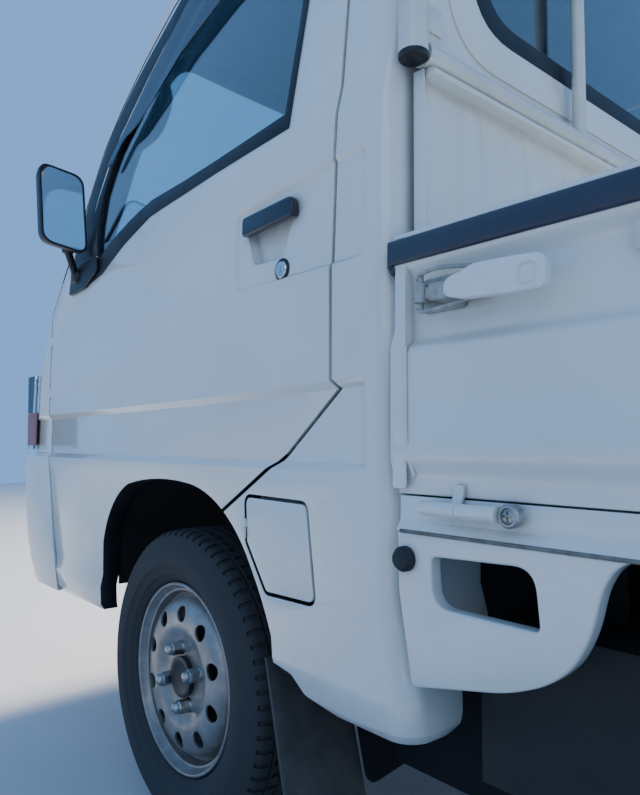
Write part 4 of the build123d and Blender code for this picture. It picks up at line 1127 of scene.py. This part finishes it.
@dataclass
class Cab:
    """Window and screen seals, lamps, inner faces, wipers, blank plates and black sheets of painted shade."""

    inner_depth: float = 24.0
    heart: Vector = field(default_factory=lambda: Vector((0, -0.9, 1.2)))
    rear_window: tuple[float, ...] = (565.0, 1290.0, 1640.0, 95.0)
    screen_half: float = 640.0
    screen_middle: float = 1358.0
    recess: tuple[float, ...] = (0.88, 1.08, 190.0, 345.0)
    gap_depth: float = 0.003

    def build(self, truck: Truck) -> None:
        """All of it."""
        self.rear_seal()
        self.screen_seal(truck)
        self.wipers(truck)
        self.lamp_bowls(truck)
        self.tail_lenses()
        self.plates()
        self.lining()
        self.guards()

    def guards(self) -> None:
        """Black sheets under the cab's rear, inboard of the wheels and the skirts, put there as painted shade."""
        # painted shade: near-black sheets where the underbody lies in shade
        inner = bevelled(side_plate(556, ((395, 215), (616, 215), (616, 484), (760, 484), (760, 586), (395, 586)),
                                    6, 12), 1.5)
        cross = bevelled(cross_plate(300, ((574, 372), (574, 165), (366, 190), (366, 300), (400, 372)), 4, 25),
                         1.2)
        for vertex in cross.data.vertices:
            vertex.co.y += (0.372 - vertex.co.z) * 0.27
        claim_pair(joined([inner, cross]), "splash_guard", SHADE_BLACK, "chassis")

    def rear_seal(self) -> None:
        """Rubber round the rear window."""
        half, low, high, cut = self.rear_window

        def outline(margin: float) -> list[Vector]:
            """Rounded outline at a margin inside the opening's edge."""
            wide, foot, head = half - margin, low + margin, high - margin
            rows = ((wide, foot), (wide, head), (-wide, head), (-wide, foot))
            return in_cross_plane(562, rows, cut - margin * 0.4, 8)

        ring = new_ring(outline(-4), outline(27), BACK * (-13 * MM))
        claim(bevelled(ring, 2.5, 3), "rear_window_seal", SEAL, "chassis", (), 45)
        ahead = BACK * (4.5 * MM)
        pressing = new_ring([v - ahead for v in outline(-58)], [v - ahead for v in outline(-2)], BACK * (-6 * MM))
        for vertex in pressing.data.vertices:
            if vertex.co.y > station(554):
                vertex.co.y += 3.5 * MM
        claim(bevelled(pressing, 2.0, 3), "rear_window_pressing", ENAMEL, "chassis", (), 45)

    def on_screen(self, truck: Truck, x: float, z: float, proud: float) -> Vector:
        """Point on the windscreen's outer face, moved forward by a margin in millimetres."""
        glass = truck.nodes["windscreen"]
        for reach in (0, 4, 8, 14, 20, 28):
            toward = 1 - reach / self.screen_half
            middle_z = self.screen_middle + (z - self.screen_middle) * toward
            hit, place, _, _ = glass.ray_cast(Vector((x * toward * MM, -3.0, middle_z * MM)), BACK)
            if hit:
                return Vector((x * MM, place.y - proud * MM, z * MM))
        return Vector((x * MM, station(-600), z * MM))

    def screen_seal(self, truck: Truck) -> None:
        """Rubber round the windscreen."""
        low, high = 1062, 1655
        middle = (low + high) / 2

        def outline(margin: float) -> list[Vector]:
            """Points on the glass at a margin inside the opening's corners, closely spaced."""
            wide, tall = 1 - margin / 600, 1 - margin / 296
            moved = [Vector((x * wide * MM, 0, (middle + (z - middle) * tall) * MM))
                     for x, z in ((640, low), (560, high), (-560, high), (-640, low))]
            line = softened(moved, 72 - margin, 6)
            fine: list[Vector] = []
            for i, point in enumerate(line):
                after = line[(i + 1) % len(line)]
                count = 10 if (after - point).length > 0.15 else 1
                fine += [point.lerp(after, k / count) for k in range(count)]
            return [self.on_screen(truck, p.x / MM, p.z / MM, 10.5) for p in fine]

        ring = new_ring(outline(-3), outline(24), BACK * (8 * MM))
        claim(bevelled(ring, 1.5, 2, 50), "windscreen_seal", SEAL, "chassis", (), 50)

    def wipers(self, truck: Truck) -> None:
        """Two wipers with their arms, resting on the foot of the windscreen."""
        parts = []
        for x, reach in ((-330, 460), (180, 420)):
            blade = [self.on_screen(truck, x + reach * t, 1104 + 42 * t, 15) for t in (0.0, 0.25, 0.5, 0.75, 1.0)]
            parts.append(new_tube(blade, 5, 3))
            foot = self.on_screen(truck, x - 40, 1062, 12)
            arm = [foot, foot.lerp(blade[2], 0.3) + Vector((0, -14 * MM, 4 * MM)),
                   blade[2] + Vector((0, -8 * MM, 3 * MM))]
            parts.append(new_tube(softened(arm, 30, closed=False), 4.5, 3))
            parts.append(turned([(-8, 0), (-8, 17), (6, 15), (12, 10), (12, 0)], foot, 20, axis=-BACK, out=OUT))
        claim(joined(parts), "wipers", BLACK_PLASTIC, "chassis")

    def lamp_bowls(self, truck: Truck) -> None:
        """Silvered bowls and amber corners inside the headlamps' clear covers."""
        for name, finish, slot, low, high, inner, outer in (
                ("lamp_bowl", BOWL, "lamp_clear", 680, 858, 440, 640),
                ("lamp_corner", AMBER, "lamp_red", 680, 770, 648, 740)):
            piece = copied(truck.nodes["headlamps"])
            edit_all(piece)
            bpy.ops.mesh.remove_doubles(threshold=MERGE_M)
            bpy.ops.mesh.normals_make_consistent(inside=False)
            for z, way in ((low, -UP), (high, UP)):
                split(UP * (z * MM), way, clear_outer=True, use_fill=True)
            for x in (-outer, -inner, inner, outer):
                split(OUT * (x * MM), OUT)
            bpy.ops.mesh.select_all(action="SELECT")
            bpy.ops.transform.shrink_fatten(value=-3 * MM)
            select_faces(piece, lambda polygon: not inner <= abs(polygon.center.x) / MM <= outer)
            bpy.ops.mesh.delete(type="FACE")
            end_edit()
            claim(piece, name, finish, "chassis")

    def tail_lenses(self) -> None:
        """Red, amber and clear lenses side by side in a black housing, on each side."""
        lenses = []
        for side in Side:
            sign = side.value
            box = ((sign * 511, 518), (sign * 709, 518), (sign * 709, 587), (sign * 511, 587))
            housing = bevelled(cross_plate(2445, box, 30, 6), 2)
            claim(housing, f"tail_housing_{side.label}", BLACK_PLASTIC, "chassis",
                  ("tail_lamps",))
            for low, high, finish in ((516, 566, CLEAR_LENS), (568, 622, AMBER), (624, 704, LAMP_RED)):
                face = ((sign * low, 523), (sign * high, 523), (sign * high, 582), (sign * low, 582))
                lenses.append((bevelled(cross_plate(2474, face, 8, 5), 2.5, 3), finish))
        for number, (lens, finish) in enumerate(lenses, 1):
            claim(lens, f"tail_lens_{number}", finish, "chassis")

    def plates(self) -> None:
        """Blank number plates with a raised rim, at both ends."""
        for name, behind, z, way in (("front_plate", -881, 520, -1), ("rear_plate", 2478, 545, 1)):
            outer = in_cross_plane(behind, ((165, z - 82), (165, z + 82), (-165, z + 82), (-165, z - 82)), 9)
            plate = new_plate(outer, BACK * (way * 1.5 * MM))
            inner = [Vector((p.x * 0.965, p.y, z * MM + (p.z - z * MM) * 0.94)) for p in outer]
            rim = bevelled(new_ring(outer, inner, BACK * (way * 3.0 * MM)), 0.6)
            claim(joined([plate, rim]), name, PLATE, "chassis")

    def lining(self) -> None:
        """Grey trim and headlining on the inner faces of the dressed cab panels, darker than the bare panels as
        partly painted shade of the cab's inside, and black seal rubber as painted shade on faces in the door gaps
        and the wheel arch.
        """
        for name in ("door_left", "door_right", "cab_side_left", "cab_side_right", "roof", "rear_wall",
                     "front_panel"):
            piece = bpy.data.objects[f"{name}_panel"]
            lining_and_shade = HEADLINING_AND_SHADE if name in ("roof", "rear_wall") else INTERIOR
            piece.data.materials.append(lining_and_shade.material())
            piece.data.materials.append(SEAL.material())
            for polygon in piece.data.polygons:
                middle = polygon.center
                skin = SIDE_MM * MM - lean_in(middle.z)
                deep = abs(middle.x) < skin - self.inner_depth * MM
                inward = polygon.normal.dot(self.heart - middle) > 0
                if name == "rear_wall":
                    deep = middle.y < station(558 - self.inner_depth)
                # partly painted shade: the inner faces get the darker trim and headlining
                if deep and inward:
                    polygon.material_index = 1
                # painted shade: faces in the door gaps get black seal rubber; in the wheel arch it is partly its
                # black underbody, partly painted shade
                elif self.in_gap(name, polygon, skin):
                    polygon.material_index = 2

    def in_gap(self, name: str, polygon: bpy.types.MeshPolygon, skin: float) -> bool:
        """Whether a face of a side panel lies in a door gap or in the wheel arch, where black seal rubber is
        painted as shade.
        """
        if not name.startswith(("door", "cab_side")) or abs(polygon.normal.x) > 0.35:
            return False
        middle = polygon.center
        low, high, front, rear = self.recess
        if name.startswith("door") and low < middle.z < high and station(front) < middle.y < station(rear):
            return False
        depth = skin - abs(middle.x)
        level = polygon.normal.z < -0.9 and middle.z < 0.33
        return depth > self.gap_depth and station(-600) < middle.y < station(382) and not level


@dataclass
class Seats:
    """Two seats, each a crowned cushion and back of padded cloth with a sewn channel."""

    seat_x: float = 340.0
    half_wide: float = 222.0
    voxel_mm: float = 6.0
    cap_mm: float = 12.0
    pressure: float = 4.0
    frames: int = 20
    smoothing: int = 4

    def build(self) -> None:
        """Cushion and back, made once and copied to the other side."""
        cushion = self.pad(((-158, 668), (312, 668), (322, 756), (80, 752), (-160, 786)), 24)
        back = self.pad(((326, 672), (408, 672), (470, 1388), (440, 1388), (330, 800)), 20)
        for kind, piece, nodes in (("seat_cushion", cushion, ("seats",)), ("seat_back", back, ())):
            for side, one in (("left", piece), ("right", mirrored(piece))):
                claim(one, f"{kind}_{side}", SEAT_CLOTH, "chassis", nodes, 60)

    def pad(self, outline: Rows, cut: float) -> Piece:
        """Padded piece of a side outline.

        Args:
            outline: points as station and height.
            cut: rounding of its corners in millimetres.

        Returns:
            The left piece, swollen by cloth simulation.
        """
        start = self.seat_x - self.half_wide
        piece = bevelled(side_plate(start, outline, -2 * self.half_wide, cut), 18, 3, 50)
        self.swell(piece)
        return piece

    def swell(self, piece: Piece) -> None:
        """Inflate a piece with the cloth simulation and cap how far each point moves."""
        activate(piece)
        remesh = piece.modifiers.new("remesh", "REMESH")
        remesh.mode = "VOXEL"
        remesh.voxel_size = self.voxel_mm * MM
        apply_modifiers(piece)
        before = [vertex.co.copy() for vertex in piece.data.vertices]
        cloth = piece.modifiers.new("cloth", "CLOTH")
        cloth.settings.use_pressure = True
        cloth.settings.uniform_pressure_force = self.pressure
        cloth.settings.effector_weights.gravity = 0.0
        cloth.point_cache.frame_start = 1
        cloth.point_cache.frame_end = self.frames
        scene = bpy.context.scene
        for number in range(1, self.frames + 1):
            scene.frame_set(number)
        apply_modifiers(piece)
        for vertex, rest in zip(piece.data.vertices, before):
            move = vertex.co - rest
            if move.length > self.cap_mm * MM:
                vertex.co = rest + move.normalized() * self.cap_mm * MM
        scene.frame_set(1)
        even = piece.modifiers.new("even", "SMOOTH")
        even.iterations = self.smoothing
        apply_modifiers(piece)


@dataclass
class Studio:
    """Floor, lights and camera. The camera stands where the photograph was taken from."""

    eye: Point = (1.33371, 0.328497, 0.687903)
    yaw_deg: float = 49.55
    pitch_deg: float = 3.975
    roll_deg: float = 0.373
    focal_px: float = 680.6
    frame_px: tuple[int, int] = (640, 795)
    sensor_mm: float = 36.0
    sky: str = "7DB2F4"
    sky_strength: float = 1.05
    aim: Point = (0, 0, 0.7)

    def floor(self) -> None:
        """Plain pale floor."""
        deselect()
        bpy.ops.mesh.primitive_plane_add(size=24, location=(0, 0, 0))
        piece = bpy.context.object
        piece.name = "floor"
        dress(piece, FLOOR)

    def lights(self) -> None:
        """Soft sky light with two large panels."""
        world = bpy.data.worlds.new("studio")
        bpy.context.scene.world = world
        world.use_nodes = True
        background = world.node_tree.nodes["Background"]
        background.inputs["Color"].default_value = linear(self.sky)
        background.inputs["Strength"].default_value = self.sky_strength
        rows = (("key", (-3.2, -2.6, 6.5), 3.0, 1500.0, "FFF0DC"), ("fill", (5.5, 3.5, 3.5), 4.0, 45.0, "FFF6EA"))
        for name, place, size, power, colour in rows:
            lamp = bpy.data.lights.new(name, "AREA")
            lamp.shape = "SQUARE"
            lamp.size = size
            lamp.energy = power
            lamp.color = linear(colour)[:3]
            holder = bpy.data.objects.new(name, lamp)
            bpy.context.scene.collection.objects.link(holder)
            holder.location = place
            holder.rotation_euler = (Vector(self.aim) - Vector(place)).to_track_quat("-Z", "Y").to_euler()

    def camera(self) -> None:
        """Camera of the photograph's place, direction and angle of view."""
        yaw, pitch, roll = radians(self.yaw_deg), radians(self.pitch_deg), radians(self.roll_deg)
        ahead = Vector((-cos(yaw) * cos(pitch), -sin(yaw) * cos(pitch), sin(pitch)))
        level = ahead.cross(UP).normalized()
        above = level.cross(ahead)
        right = level * cos(roll) + above * sin(roll)
        up = above * cos(roll) - level * sin(roll)
        data = bpy.data.cameras.new("camera")
        data.sensor_width = self.sensor_mm
        data.lens = self.focal_px * self.sensor_mm / max(self.frame_px)
        data.clip_start = 0.02
        holder = bpy.data.objects.new("camera", data)
        bpy.context.scene.collection.objects.link(holder)
        turn = Matrix((right, up, -ahead)).transposed().to_4x4()
        holder.matrix_world = Matrix.Translation(Vector(self.eye)) @ turn
        bpy.context.scene.camera = holder


PANEL_ROUNDING: dict[str, float] = {
    "door_left": 2.0, "door_right": 2.0, "cab_side_left": 2.0, "cab_side_right": 2.0, "front_panel": 2.0,
    "roof": 3.0, "rear_wall": 2.0, "front_bumper": 5.0, "fuel_lid": 1.5, "bed_side_left": 2.0,
    "bed_side_right": 2.0, "rear_panel": 2.0, "mud_flaps": 2.0, "bed_deck": 1.5,
}


def main() -> None:
    """Dress the truck and set the stage."""
    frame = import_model()
    studio = Studio()
    studio.camera()
    studio.floor()
    studio.lights()
    truck = Truck(frame)
    truck.paint()
    for node, width in PANEL_ROUNDING.items():
        truck.rounded(node, width)
    DoorTrim().build()
    Mirrors().build()
    Gates().build()
    Skirts().build()
    Guard().build()
    Wheels().build()
    Cab().build(truck)
    Seats().build()


if __name__ == "__main__":
    main()
